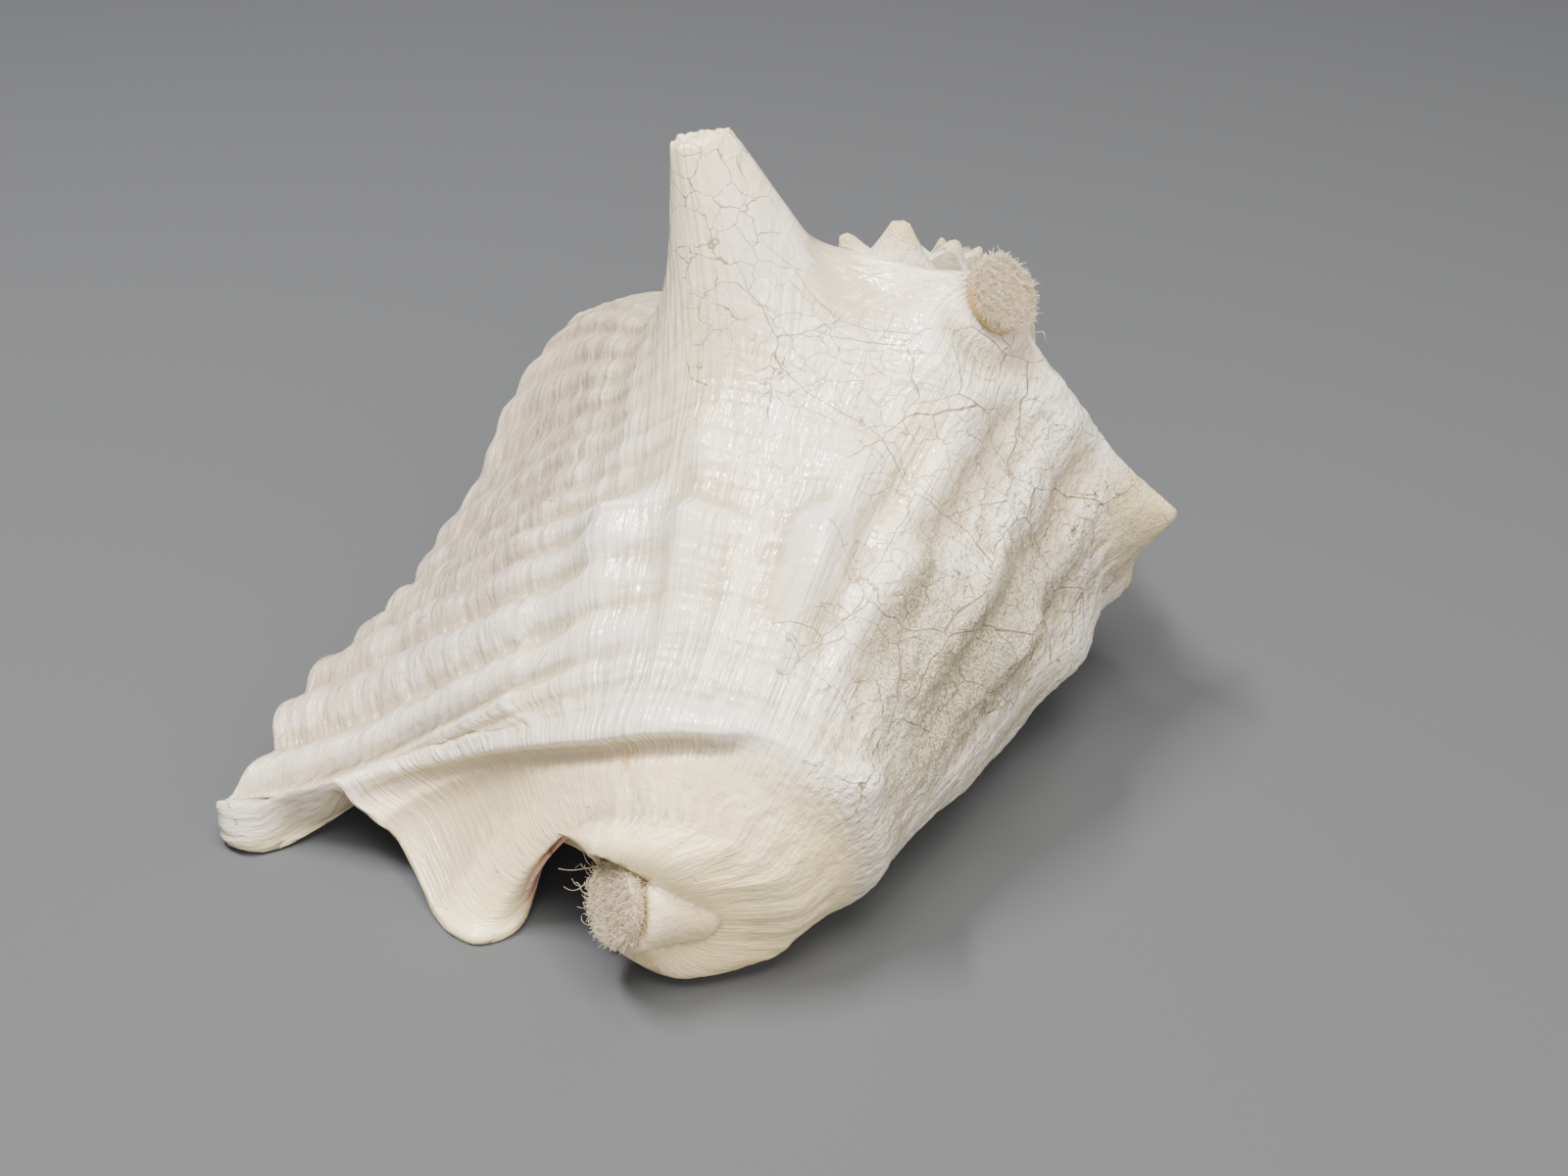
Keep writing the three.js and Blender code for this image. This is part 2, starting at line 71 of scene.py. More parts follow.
# Knobs of the shoulder: turn, height, tip, fall, lean, run and the turn that the knob leans to.
KNOBS = [
    (155, 3, 0, 12, 0.2, 1.3, 155),
    (109.3, 41, 6, 10.5, 0.22, 1.3, 109.3),
    (67, 16, 5.5, 8, -0.1, 1.6, 42),
    (-0.1, 15.4, 0.5, 12, 0.02, 1.3, -0.1),
    (-28, 11.5, 2, 12, 0.2, 3.6, -28),
    (-91, 15.5, 3, 11, 0.1, 1.5, -91),
]
OLD_KNOB = {"first": -131.2, "step": 46.6, "height": 22, "tip": 2.6, "fall": 9.5, "lean": 0.4, "run": 1.3}
OLD_KNOBS = 40
# Where the earlier knobs are worn down: turn, half-width in degrees, and the share that is lost.
WORN_KNOBS = [(-338, 45, 0.7), (-712, 50, 0.85)]
KNOB_REACH = 75
KNOB_EDGE = 1.15
FLARE_STRETCH = 1.6
KEEL = {"height": 4.5, "half": 10, "from": -75, "to": 40, "fade": 22}
# Low lumps on the side: turn, row, height, half-width round and along the shell in mm, and lean.
LUMPS = [
    (109, 0.45, 4, 9, 14, 0),
    (74, 0.45, 3.5, 8, 12, 0),
    (68, 0.55, 3, 8, 8, 0),
    (47, 0.5, 3, 8, 12, 0),
    (14, 0.45, 3, 9, 12, 0),
    (-20, 0.36, 5, 10, 14, 0),
    (34, 0.7, 4, 5, 5, 0),
    (-34, 0.46, 3, 12, 14, 0),
    (-72, 0.95, 3.5, 14, 10, -2),
    (87, 0.12, -7.5, 9, 12, 0),
    (49, 0.09, 4.5, 9, 12, 0),
]
# The lip's folds: the row of each one's crest at the lip's edge, and how high it is there.
FOLD_ROW = [
    0.14, 0.18, 0.215, 0.25, 0.285, 0.32, 0.355, 0.39, 0.425, 0.465, 0.515, 0.565, 0.625, 0.668, 0.7, 0.72,
]
FOLD_HEIGHT = [1, 1.5, 1.3, 1.2, 1.1, 1.1, 1.2, 1.5, 2.1, 2.9, 3.6, 3.9, 3.5, 1.6, 0.8, 0]
FOLD_GROWS = (112, 148)
FOLD_START_GROWS = (20, 100)
FOLD_START_SHARE = 0.06
FOLD_ROUND = 0.55
# The lip's edge as the shell lies: row, then x, y and z.
LIP_EDGE = np.array([
    [TUCK, -42, -50, 63], [0, -50, -48, 65], [0.05, -64, -43, 66], [0.1, -79, -45, 66.5],
    [SHOULDER, -91, -51, 64], [0.19, -100, -54, 54], [0.24, -106, -66, 43], [0.3, -106, -85, 32],
    [0.36, -106, -108, 27], [0.42, -106, -130, 22], [0.48, -110, -148, 18], [0.53, -113, -164, 16],
    [0.57, -113, -178, 14], [0.61, -111, -190, 13], [0.64, -113, -199, 11],
    [0.665, -115.5, -204.5, 9.5], [0.69, -103, -202.5, 12.5], [0.705, -94, -201, 16],
    [CREST, -86, -200, 20], [0.745, -81, -200.5, 16], [0.765, -76, -200.5, 13],
    [0.785, -71, -200.5, 8.5], [0.81, -61.5, -208, 3.5], [0.83, -57, -212, 1.5],
    [0.855, -50, -216, 0.5], [0.875, -44, -216.5, 0.5], [0.895, -39, -212, 1],
    [0.91, -37.5, -207, 3], [0.93, -37.5, -202, 9.5], [0.945, -37.3, -200, 15.5],
    [0.955, -34, -200.5, 19.5], [0.965, -29, -202, 21], [0.973, -23.5, -203.5, 21],
    [0.98, -20, -206, 18.5], [0.987, -22, -208, 12], [0.994, -20, -209, 6], [1, -13, -209, 2],
])
# The way that the lip runs as it reaches its edge: row, then x, y and z.
LIP_ARRIVAL = np.array([
    [TUCK, -0.8, 0, -0.6], [0.5, -0.85, -0.1, -0.5], [0.62, -0.9, -0.2, -0.2],
    [0.7, -0.6, -0.7, 0.1], [0.8, -0.4, -0.8, -0.4], [0.9, -0.3, -0.8, -0.5],
    [0.955, -0.8, -0.5, -0.2], [1, -0.8, -0.3, -0.4],
])
# How far the tab's side beside the canal is drawn in behind its edge, as the shell lies, and its rows.
TAB_DRAWN = (-4.8, 1, 0)
TAB_ROWS = (0.865, 0.91, 0.94, 0.965)
# Where the sheet folds tightly its inside lies behind and below it: the rows over which that starts and
# ends, the turns over which it starts, and the way from the inside to the outside as the shell lies.
TIGHT_FOLDS = [
    ((0.675, 0.7), (0.75, 0.785), (136, 148), (-0.1, -0.35, 0.93)),
    ((0.865, 0.885), (0.95, 0.965), (120, 130), (-0.2, -0.75, 0.6)),
]
# The shell's half-width as it lies, and how much of it the outermost points are eased into, in mm.
HALF_WIDTH = 94.4
WIDTH_ROOM = 1.9
RIGHT_ROOM = 0.4
WALL = 4.5
WALL_FADE = 10
EDGE_WALL_ROW = [0, SHOULDER, 0.3, 0.5, 0.6, 0.665, 0.69, 0.705, CREST, 0.78, 0.86, 0.9, 0.94, 1]
EDGE_WALL = [4, 5, 6.5, 7.5, 9, 10, 12, 11, 4, 3.5, 4.5, 4, 2.5, 2.5]
# A wall that thickens does so only near the edge. It is thinner under the crest and at the canal.
EDGE_WALL_LATE = 12
CREST_THINNER = 1.6
CANAL_THINNER = 2.2
BELLY_FROM = 6
BELLY_LEFT = -3
START_SINK = 1.2
START_RISE = 0.15
RISE_FADE = 15
MM = 0.001

TILT = np.array(Matrix.Rotation(math.radians(TIP_TILT), 3, "X"))
PLACE = np.array([-CENTRE_X, -CENTRE_Y, APEX_HEIGHT])
TO_CENTRE = np.array([-CENTRE_X, -CENTRE_Y, 0])


def lie(points):
    """Turns points in the shell's own frame to the way that it lies on the table."""
    return points @ TILT.T + PLACE


def unlie(points):
    return (points - PLACE) @ TILT


def mix(a, b, t):
    return a + (b - a) * t


def ease(start, end, x):
    t = np.clip((x - start) / (end - start), 0, 1)
    return t * t * (3 - 2 * t)


def over(start, full, fades, end, x):
    """1 from full to fades, eased in from start and out to end."""
    return ease(start, full, x) * (1 - ease(fades, end, x))


def through(xs, ys, x):
    """A smooth curve through ys at xs, read at x."""
    xs = np.asarray(xs, float)
    ys = np.asarray(ys, float)
    last = len(xs) - 1
    before = np.maximum(np.arange(last + 1) - 1, 0)
    after = np.minimum(np.arange(last + 1) + 1, last)
    slope = (ys[after] - ys[before]) / (xs[after] - xs[before])
    i = np.searchsorted(xs[1:-1], x, side="left")
    span = xs[i + 1] - xs[i]
    t = (x - xs[i]) / span
    rise = ys[i + 1] - ys[i]
    bend = (slope[i] * span - rise) * (1 - t) - (slope[i + 1] * span - rise) * t
    return ys[i] + rise * t + bend * t * (1 - t)


def unit(vectors):
    return vectors / np.linalg.norm(vectors, axis=-1, keepdims=True)


def size(turn):
    return GROWTH ** ((turn - REFERENCE_TURN) / 360)


def section(turn, row):
    """Radius and height of the smooth whorl, of which only the spire side grows."""
    opening = ease(OPENING_ROWS[0], OPENING_ROWS[1], row)
    full = ease(PILLAR_UNTIL, mix(OUTER_FROM[0], OUTER_FROM[1], opening), turn)
    scale = size(turn) ** (1 - ease(SHOULDER, CREST, row))
    r = mix(through(ROW, PILLAR_R, row), through(ROW, OUTER_R, row), full)
    return r * scale, through(ROW, OUTER_Y, row) * scale


def smooth_whorl(turn, row):
    r, y = section(turn, row)
    angle = np.radians(turn)
    point = np.stack([r * np.cos(angle), y, r * np.sin(angle)], -1)
    return point + np.array(FRONT_BEND) * ease(BEND_FROM, 1, row)[:, None]


def read_table(table, row):
    return np.stack([through(table[:, 0], table[:, k], row) for k in (1, 2, 3)], -1)


def smooth_wrap(turn, row):
    """The last whorl and its lip, which leaves the whorl along its own curve to its edge."""
    point = smooth_whorl(np.minimum(turn, LIP_TURN), row)
    flared = turn > LIP_TURN
    rows = row[flared]
    t = ((turn[flared] - LIP_TURN) / (EDGE_TURN - LIP_TURN))[:, None]
    start = smooth_whorl(np.full(len(rows), float(LIP_TURN)), rows)
    before = smooth_whorl(np.full(len(rows), LIP_TURN - 1.0), rows)
    end = unlie(read_table(LIP_EDGE, rows) + TO_CENTRE)
    reach = np.linalg.norm(end - start, axis=1)[:, None]
    leave = start - before
    leave *= reach / np.linalg.norm(leave, axis=1)[:, None]
    arrive = read_table(LIP_ARRIVAL, rows) @ TILT
    arrive *= reach / np.linalg.norm(arrive, axis=1)[:, None]
    point[flared] = (
        start * (1 + t * t * (2 * t - 3))
        + leave * t * (1 - t) ** 2
        + end * t * t * (3 - 2 * t)
        + arrive * t * t * (t - 1)
    )
    tab = over(*TAB_ROWS, rows)
    point[flared] += (tab[:, None] * 4 * t * (1 - t)) * (np.array(TAB_DRAWN) @ TILT)
    return point


def normal_at(turn, row):
    step = 0.5
    row_step = 0.004
    a = smooth_wrap(turn - step, row) - smooth_wrap(np.minimum(turn + step, EDGE_TURN), row)
    b = smooth_wrap(turn, np.minimum(row + row_step, 1)) - smooth_wrap(turn, row - row_step)
    return unit(np.cross(b, a))


def lift(turn, row):
    """How far the knobs, the keel and the lumps lift a point off the smooth surface."""
    whorl_turn = np.minimum(turn, LIP_TURN)
    r, y = section(whorl_turn, row)
    shoulder = np.full(len(row), SHOULDER)
    shoulder_r, shoulder_y = section(whorl_turn, shoulder)
    down = np.hypot(r - shoulder_r, y - shoulder_y)
    place = whorl_turn + (turn - whorl_turn) * FLARE_STRETCH
    total = np.zeros((len(turn), 3))

    def raise_by(height, towards, lean):
        angle = np.radians(np.broadcast_to(towards, height.shape))
        way = np.stack([np.cos(angle), np.full(len(height), float(lean)), np.sin(angle)], -1)
        total[:] += way * height[:, None]

    def knob(knob_turn, height, tip, fall, lean, run, towards, scale, felt):
        across = shoulder_r * np.radians(place - knob_turn)
        along = np.where(row < SHOULDER, down, down / run)
        away = np.maximum(np.hypot(across, along) / scale - tip, 0) / fall
        raise_by(height * scale * np.exp(-(away ** KNOB_EDGE)) * felt, towards, lean)

    for knob_turn, height, tip, fall, lean, run, towards in KNOBS:
        felt = abs(place - knob_turn) < KNOB_REACH
        knob(knob_turn, height, tip, fall, lean, run, towards, 1, felt)
    old = OLD_KNOB
    nearest = np.round((old["first"] - place) / old["step"])
    for n in range(OLD_KNOBS):
        knob_turn = old["first"] - n * old["step"]
        worn = sum(
            loss * math.exp(-(((knob_turn - middle) / half) ** 2)) for middle, half, loss in WORN_KNOBS
        )
        felt = abs(nearest - n) <= 2
        height = old["height"] * (1 - worn)
        knob(knob_turn, height, old["tip"], old["fall"], old["lean"], old["run"], knob_turn,
             size(place), felt)
    starts = ease(KEEL["from"] - KEEL["fade"], KEEL["from"], place)
    ends = ease(KEEL["to"], KEEL["to"] + KEEL["fade"], place)
    raise_by(KEEL["height"] * starts * (1 - ends) * np.exp(-((down / KEEL["half"]) ** 2)), whorl_turn, 0)
    for lump_turn, lump_row, height, round_half, along_half, lean in LUMPS:
        lump_r, lump_y = section(whorl_turn, np.full(len(row), lump_row))
        across = lump_r * np.radians(place - lump_turn) / round_half
        along = np.hypot(r - lump_r, y - lump_y) / along_half
        raise_by(height * np.exp(-(across ** 2) - along ** 2), whorl_turn, lean)
    return total


def settled(point):
    """Flattens the underside where it comes near the table."""
    lying = lie(point)
    span = BELLY_FROM - BELLY_LEFT
    low = BELLY_LEFT + span * np.exp((np.minimum(lying[:, 2], BELLY_FROM) - BELLY_FROM) / span)
    lying[:, 2] = np.where(lying[:, 2] < BELLY_FROM, low, lying[:, 2])
    return unlie(lying)


# The fine relief: steps where growth paused, flutes, wrinkles over the lip's folds and spiral cords.
STEP_LINES = [(128, 0.5), (137, 1.2), (148, 0.9), (159, 0.8), (169, 0.6)]
STEP_FADE = 3.5
# Flutes that run down the side: turn, first and last row, height and half-width in degrees.
FLUTES = [
    (134, 0.2, 0.66, -1.2, 3.5), (125, 0.44, 0.66, 1.0, 4.5), (116, 0.4, 0.58, -0.9, 6),
    (107, 0.42, 0.66, 1.2, 4), (98, 0.48, 0.66, -0.5, 3), (92, 0.5, 0.68, 0.6, 3), (85, 0.46, 0.66, -0.6, 3),
    (75, 0.42, 0.66, 1.2, 3.5), (65, 0.4, 0.62, -1.8, 4), (57, 0.2, 0.62, 1.6, 4.5), (47, 0.2, 0.66, -2.0, 4),
    (33, 0.16, 0.6, 2.3, 5), (23, 0.18, 0.62, -1.8, 4), (14, 0.2, 0.55, 1.4, 4.5), (3, 0.3, 0.6, -1.2, 4),
    (-10, 0.3, 0.6, 1.0, 6), (-22, 0.4, 0.7, -1.0, 6),
    (141, 0.18, 0.6, 1.2, 3.5), (154, 0.18, 0.6, 0.9, 4), (164, 0.2, 0.6, 0.5, 3),
]
# Nodules halfway down the side, each with a ledge on top: turn, row, height, and half-width round the
# shell, above and below, in mm.
NODULES = [
    (124.5, 0.48, 4.2, 9, 2.4, 15), (106, 0.515, 4.4, 7, 3, 13), (76, 0.51, 3.6, 6, 5, 13),
    (55, 0.5, 1.8, 6, 6, 14), (33, 0.46, 1.8, 6, 6, 14), (12, 0.46, 1.6, 7, 6, 14),
]
LEDGE_SHADE = (0.45, 9, 5)
MID_ROUND_MM = 0.95
FLARE_ROUND_MM = 1.75
ROW_MM = 190
# The row of the front ridge at each turn, and its shelf: it rises softly and drops to a groove.
RIDGE_TURN = [-90, 20, 70, 83, 118, 150, 180]
RIDGE_ROW = [0.7, 0.7, 0.717, 0.735, 0.75, 0.735, 0.72]
RIDGE_HEIGHT = [0, 0, 0.4, 2.6, 2.7, 2.4, 1.2]
GROOVE_DEPTH = [0, 0, 0.4, 1.2, 1.2, 0.7, 0.3]
RIDGE_RISE = 0.028
RIDGE_DROP = 0.0075
GROOVE_AT = 0.024
GROOVE_HALF = 0.014
# Lengths of the waves, in mm.
WRINKLE_MM = 3.6
LATTICE_MM = 9.2
CORD_MM = 2.9
SPIRE_LINE_MM = 1.7
FRONT_WAVE_MM = 3.4
FRONT_SWELL_MM = 10


def round_mm(turn):
    """How far round the shell a turn is, in mm, at the middle of its side."""
    return np.minimum(turn, LIP_TURN) * MID_ROUND_MM + np.maximum(turn - LIP_TURN, 0) * FLARE_ROUND_MM


def grain(points, scale, seed):
    """Smooth noise from -1 to 1 at each point, with lumps of about that size in mm."""
    shift = Vector((seed * 7.3, seed * 3.1, seed * 5.7))
    return np.array([noise.noise(Vector(point) / scale + shift) for point in points])


def relief(turn, row):
    """Height of the folds and of the front ridge."""
    along = np.clip(row, FOLD_ROW[0], CREST)
    place = through(FOLD_ROW, np.arange(len(FOLD_ROW)), along)
    wave = (0.5 + 0.5 * np.cos(2 * np.pi * place)) ** FOLD_ROUND
    strength = mix(FOLD_START_SHARE * ease(*FOLD_START_GROWS, turn), 1, ease(*FOLD_GROWS, turn))
    inside = ease(FOLD_ROW[0], FOLD_ROW[0] + 0.01, row) * (row < CREST)
    fold = wave * through(FOLD_ROW, FOLD_HEIGHT, along) * strength * inside
    past = row - through(RIDGE_TURN, RIDGE_ROW, turn)
    ridge = np.exp(-((past / np.where(past < 0, RIDGE_RISE, RIDGE_DROP)) ** 2))
    groove = np.exp(-(((past - GROOVE_AT) / GROOVE_HALF) ** 2))
    front = through(RIDGE_TURN, RIDGE_HEIGHT, turn) * ridge - through(RIDGE_TURN, GROOVE_DEPTH, turn) * groove
    return fold + front


def knob_distance(turn, row, knob_turn):
    """How far a point is from a knob's middle along the smooth surface, in mm."""
    whorl_turn = np.minimum(turn, LIP_TURN)
    r, y = section(whorl_turn, row)
    shoulder_r, shoulder_y = section(whorl_turn, np.full(len(row), SHOULDER))
    down = np.hypot(r - shoulder_r, y - shoulder_y)
    return np.hypot(shoulder_r * np.radians(turn - knob_turn), down)


# Patches of sandy crust: turn, row, their half-widths, and how thick the crust is.
CRUSTS = [
    (50, 0.5, 4, 0.07, 1), (27, 0.48, 11, 0.15, 0.8), (8, 0.44, 9, 0.15, 0.9), (17, 0.6, 12, 0.1, 0.85),
    (40, 0.58, 10, 0.08, 0.85), (62, 0.2, 12, 0.05, 0.45), (-18, 0.5, 10, 0.12, 0.6),
]
# The turns of the two knobs on the right, whose tips are cream. The first one's is grainy too.
RIGHT_KNOB = -0.1
SECOND_KNOB = -28


def patches(turn, row, spots):
    """Soft round patches on the surface: turn, row, their half-widths, and how strong each is."""
    return sum(
        strong * np.exp(-(((turn - turn_at) / turn_half) ** 2) - ((row - row_at) / row_half) ** 2)
        for turn_at, row_at, turn_half, row_half, strong in spots
    )


def fine_relief(turn, row):
    """Growth steps, flutes, wrinkles and cords, in mm."""
    around = round_mm(turn)
    along = row * ROW_MM
    flat = np.stack([around, along, np.zeros(len(turn))], -1)
    wander = grain(flat * [0.6, 1, 1], 14, 1)
    uneven = grain(flat, 8, 13)
    small = grain(flat, 3, 2)
    drawn_out = grain(flat * [1, 0.2, 1], 1.6, 3)
    pleats = grain(flat * [1, 0.16, 1], 6, 7)
    on_lip = ease(120, 150, turn) * ease(0.1, 0.2, row) * (1 - ease(0.7, 0.76, row))
    upper = on_lip * (1 - ease(0.36, 0.46, row))
    on_folds = on_lip * (1 - ease(0.6, 0.68, row))
    wrinkle = np.sin(2 * np.pi * (around / WRINKLE_MM + 1.3 * wander + 0.5 * small + 0.5 * uneven))
    lattice = np.sin(2 * np.pi * (around / LATTICE_MM + 1.3 * wander + 0.35 * uneven))
    height = 0.17 * wrinkle * (0.3 * on_lip + 0.7 * on_folds) + 0.13 * lattice * upper
    height += 0.1 * lattice * np.maximum(on_folds - upper, 0)
    height += 0.85 * uneven * on_folds
    height += 0.35 * grain(flat * [1, 0.7, 1], 4.5, 16) * on_folds
    height += 0.4 * small * (0.35 + 0.65 * on_lip) * (1 - ease(0.9, 0.94, row))
    height += 0.17 * drawn_out * (1 - 0.75 * ease(0.74, 0.8, row)) * (1 - ease(0.88, 0.92, row))
    right = 1 - ease(40, 62, turn)
    height += (0.45 + 0.5 * right) * pleats * ease(-60, -40, turn) * ease(0.16, 0.3, row) * (
        1 - ease(0.66, 0.74, row))
    height += 0.35 * right * small * ease(-60, -40, turn) * (1 - ease(0.6, 0.7, row))
    height += 0.7 * patches(turn, row, CRUSTS) * grain(flat, 2.1, 14)
    pitted = 1 - ease(8, 18, knob_distance(turn, row, RIGHT_KNOB))
    height += 0.35 * pitted * grain(flat, 2.1, 15)
    for step_turn, step_height in STEP_LINES:
        behind = (turn - step_turn - 2.5 * wander) / STEP_FADE
        bump = np.exp(-(behind ** 2)) * np.where(behind > 0, 0.3, 1)
        height += step_height * bump * ease(0.12, 0.25, row) * (1 - ease(0.7, 0.74, row))
    for flute_turn, first, last, flute_height, half in FLUTES:
        beside = (turn - flute_turn - 3 * wander) / half
        height += flute_height * np.exp(-(beside ** 2)) * ease(first - 0.06, first + 0.06, row) * (
            1 - ease(last - 0.07, last + 0.05, row))
    for nodule_turn, nodule_row, nodule_height, round_half, above, below in NODULES:
        across = (around - round_mm(nodule_turn) + 1.5 * wander) / round_half
        down = (row - nodule_row) * ROW_MM
        height += nodule_height * np.exp(-(across ** 2) - (down / np.where(down < 0, above, below)) ** 2)
        share, up, half = LEDGE_SHADE
        height -= share * nodule_height * np.exp(-(across ** 2) - ((down + up) / half) ** 2)
    cords = np.sin(2 * np.pi * (along / CORD_MM + 0.4 * wander)) * ease(-60, -40, turn) * (1 - on_lip)
    height += 0.07 * cords * ease(0.0, 0.05, row) * (1 - ease(0.7, 0.74, row))
    spire_lines = np.sin(2 * np.pi * along / size(turn) / SPIRE_LINE_MM) * (1 - ease(0.1, 0.13, row))
    height += 0.07 * spire_lines * size(turn)
    front = over(0.76, 0.84, 0.93, 0.97, row) * (1 - ease(118, 130, turn))
    height += 0.05 * np.sin(2 * np.pi * (around / FRONT_WAVE_MM + 1.9 * wander + 0.5 * small)) * front
    height += 0.08 * np.sin(2 * np.pi * (around / FRONT_SWELL_MM + 1.2 * wander)) * front
    height += 0.7 * grain(flat * [1, 0.3, 1], 8, 8) * front
    return height


# The tall knob's tip is worn ragged: the knob's turn and height, how far from its middle the wear
# starts and ends, and how deep it goes.
RAGGED = {"turn": 109.3, "height": 41, "from": 5, "to": 9.5, "depth": 1.5}


# Where the felt pads are glued: the middle of each pad's outer face as the shell lies, and its facing.
PADS = {
    "spine_felt_pad": ((34.5, -98.8, 112.6), (0.743, -0.335, 0.578)),
    "canal_felt_pad": ((-12.1, -218.7, 22.9), (-0.61, -0.72, 0.31)),
}
PAD_RADIUS = 9.7
PAD_THICK = 4
GLUE_GAP = 0.3
SEAT = PAD_RADIUS + 0.5
# The knob under the first pad is drawn out to a flat seat, as a cone with a soft foot.
CONE_SLOPE = 1.0
CONE_REACH = 40
CONE_SOFT = 5
CONE_DEEP = (26, 42)
SEAT_SUNK = 0.4


def seat_frame(name):
    centre, facing = PADS[name]
    facing = np.array(facing) / np.linalg.norm(facing)
    return np.array(centre) + TO_CENTRE - facing * (PAD_THICK + GLUE_GAP), facing


def drawn_to_seat(points, name):
    """Draws the surface near a pad out to the pad's seat."""
    middle, facing = seat_frame(name)
    away = points - middle
    height = away @ facing
    radius = np.linalg.norm(away - height[:, None] * facing, axis=1)
    cone = -CONE_SLOPE * np.maximum(radius - SEAT, 0)
    gap = height - cone
    raised = (height + cone + np.sqrt(gap * gap + CONE_SOFT * CONE_SOFT)) / 2
    near = 1 - ease(SEAT + 9, CONE_REACH, radius)
    near = near * (1 - ease(*CONE_DEEP, np.abs(height)))
    target = mix(height, raised, near)
    clear = mix(-SEAT_SUNK - 0.3 * np.maximum(radius - SEAT, 0), target, ease(SEAT + 3, SEAT + 16, radius))
    at_seat = np.abs(height) < CONE_DEEP[0]
    target = np.where(at_seat, np.minimum(target, clear), target)
    on_seat = (1 - ease(SEAT, SEAT + 2.5, radius)) * at_seat
    target = mix(target, 0, on_seat)
    return points + facing * (target - height)[:, None]


# The edge of the canal is filled out under the second pad, by a foot that spreads to one side, and
# what would stand through the pad is cut away.
BOSS_PROFILE = [(0, -16), (7.5, -16), (9, -13), (9.4, -6), (10.2, -2), (10.2, -0.8), (9.4, 0), (0, 0)]
BOSS_SIDES = 72
FOOT_TOWARDS = (1, 0, 0.3)
FOOT_SPREAD = 0.45
FOOT_NARROW = 2.5
SEAT_CLEAR = 10.3
SEAT_CUT = 14
TABLE_SIDE = 400
TABLE_DEEP = 20


def outer_point(turn, row):
    sink = START_SINK * (1 - ease(WRAP_START, CORE_END - 2, turn))
    rise = START_RISE * (1 - ease(CORE_END, CORE_END + RISE_FADE, turn))
    height = relief(turn, row) - sink + rise + fine_relief(turn, row) * ease(WRAP_START, CORE_END, turn)
    point = smooth_wrap(turn, row) + normal_at(turn, row) * height[:, None] + lift(turn, row)
    on_tip = 1 - ease(RAGGED["from"], RAGGED["to"], knob_distance(turn, row, RAGGED["turn"]))
    chipped = grain(point, 2.2, 4) - 0.35 + 0.5 * grain(point, 5, 5)
    lost = on_tip * np.abs(chipped) * RAGGED["depth"] / RAGGED["height"]
    down = point - lift(turn, row) * lost[:, None]
    return unlie(drawn_to_seat(lie(settled(down)), "spine_felt_pad"))


def inner_point(turn, row):
    flare = ease(LIP_TURN - WALL_FADE, EDGE_TURN, turn)
    edge_wall = through(EDGE_WALL_ROW, EDGE_WALL, np.maximum(row, 0))
    wall = mix(WALL, edge_wall, np.where(edge_wall > WALL, flare ** EDGE_WALL_LATE, flare))
    wall -= CREST_THINNER * over(0.68, 0.72, 0.82, 0.86, row) * ease(120, 140, turn)
    wall -= CANAL_THINNER * ease(0.86, 0.9, row) * ease(116, 130, turn)
    away = normal_at(turn, row)
    for row_starts, row_ends, turn_starts, direction in TIGHT_FOLDS:
        folded = ease(*row_starts, row) * (1 - ease(*row_ends, row)) * ease(*turn_starts, turn)
        away = mix(away, unit(np.array(direction)) @ TILT, folded[:, None])
    return smooth_wrap(turn, row) - unit(away) * wall[:, None]


def core_point(turn, row):
    point = smooth_whorl(turn, row) + lift(turn, row)
    out = smooth_whorl(turn, row)
    out[:, 1] = 0
    return settled(point + unit(out) * fine_relief(turn, row)[:, None] * CORE_RELIEF)


def steps(*stops):
    """Places from one stop to the next: each stop is followed by the step taken after it."""
    places = []
    for start, step, end in zip(stops[0::2], stops[1::2], stops[2::2]):
        count = round((end - start) / step)
        places += [start + (end - start) * k / count for k in range(count)]
    return np.array(places + [stops[-1]])


WRAP_TURNS = steps(-82, 3, -64, 1.6, 0, 1, 50, 0.84, 92, 0.5, 124, 0.603, 177.04)
INNER_TURNS = WRAP_TURNS[::4]
WRAP_ROWS = steps(TUCK, 0.01, 0.03, 0.0045, 0.25, 0.005, 0.69, 0.0032, 0.77, 0.006, 0.9, 0.0045, 1)
EDGE_CUTS = 7
LAYER_MM = 2.6


def flat_sheet(bm, columns, rows, height):
    made = bmesh.ops.create_grid(bm, x_segments=len(columns) - 1, y_segments=len(rows) - 1, size=1)
    bmesh.ops.translate(bm, verts=made["verts"], vec=(0, 0, height))


def places_of(coordinate, stops):
    """The turn or row of each flat coordinate from -1 to 1."""
    return np.interp((coordinate + 1) / 2 * (len(stops) - 1), np.arange(len(stops)), stops)


def mesh_from(bm, name):
    mesh = bpy.data.meshes.new(name)
    bm.to_mesh(mesh)
    bm.free()
    thing = bpy.data.objects.new(name, mesh)
    bpy.context.scene.collection.objects.link(thing)
    return thing


def coordinates(mesh):
    flat = np.empty(len(mesh.vertices) * 3)
    mesh.vertices.foreach_get("co", flat)
    return flat.reshape(-1, 3)


def set_coordinates(mesh, points):
    mesh.vertices.foreach_set("co", np.ascontiguousarray(points, dtype=np.float32).ravel())
    mesh.update()


def face_out(thing):
    """Turns a closed mesh's faces outwards."""
    bm = bmesh.new()
    bm.from_mesh(thing.data)
    if bm.calc_volume(signed=True) < 0:
        bmesh.ops.reverse_faces(bm, faces=bm.faces)
    bm.to_mesh(thing.data)
    bm.free()


def side_of(bm, axis, value):
    """The edges of both flat sheets along one side."""
    return [edge for edge in bm.edges if all(abs(vert.co[axis] - value) < 1e-4 for vert in edge.verts)]


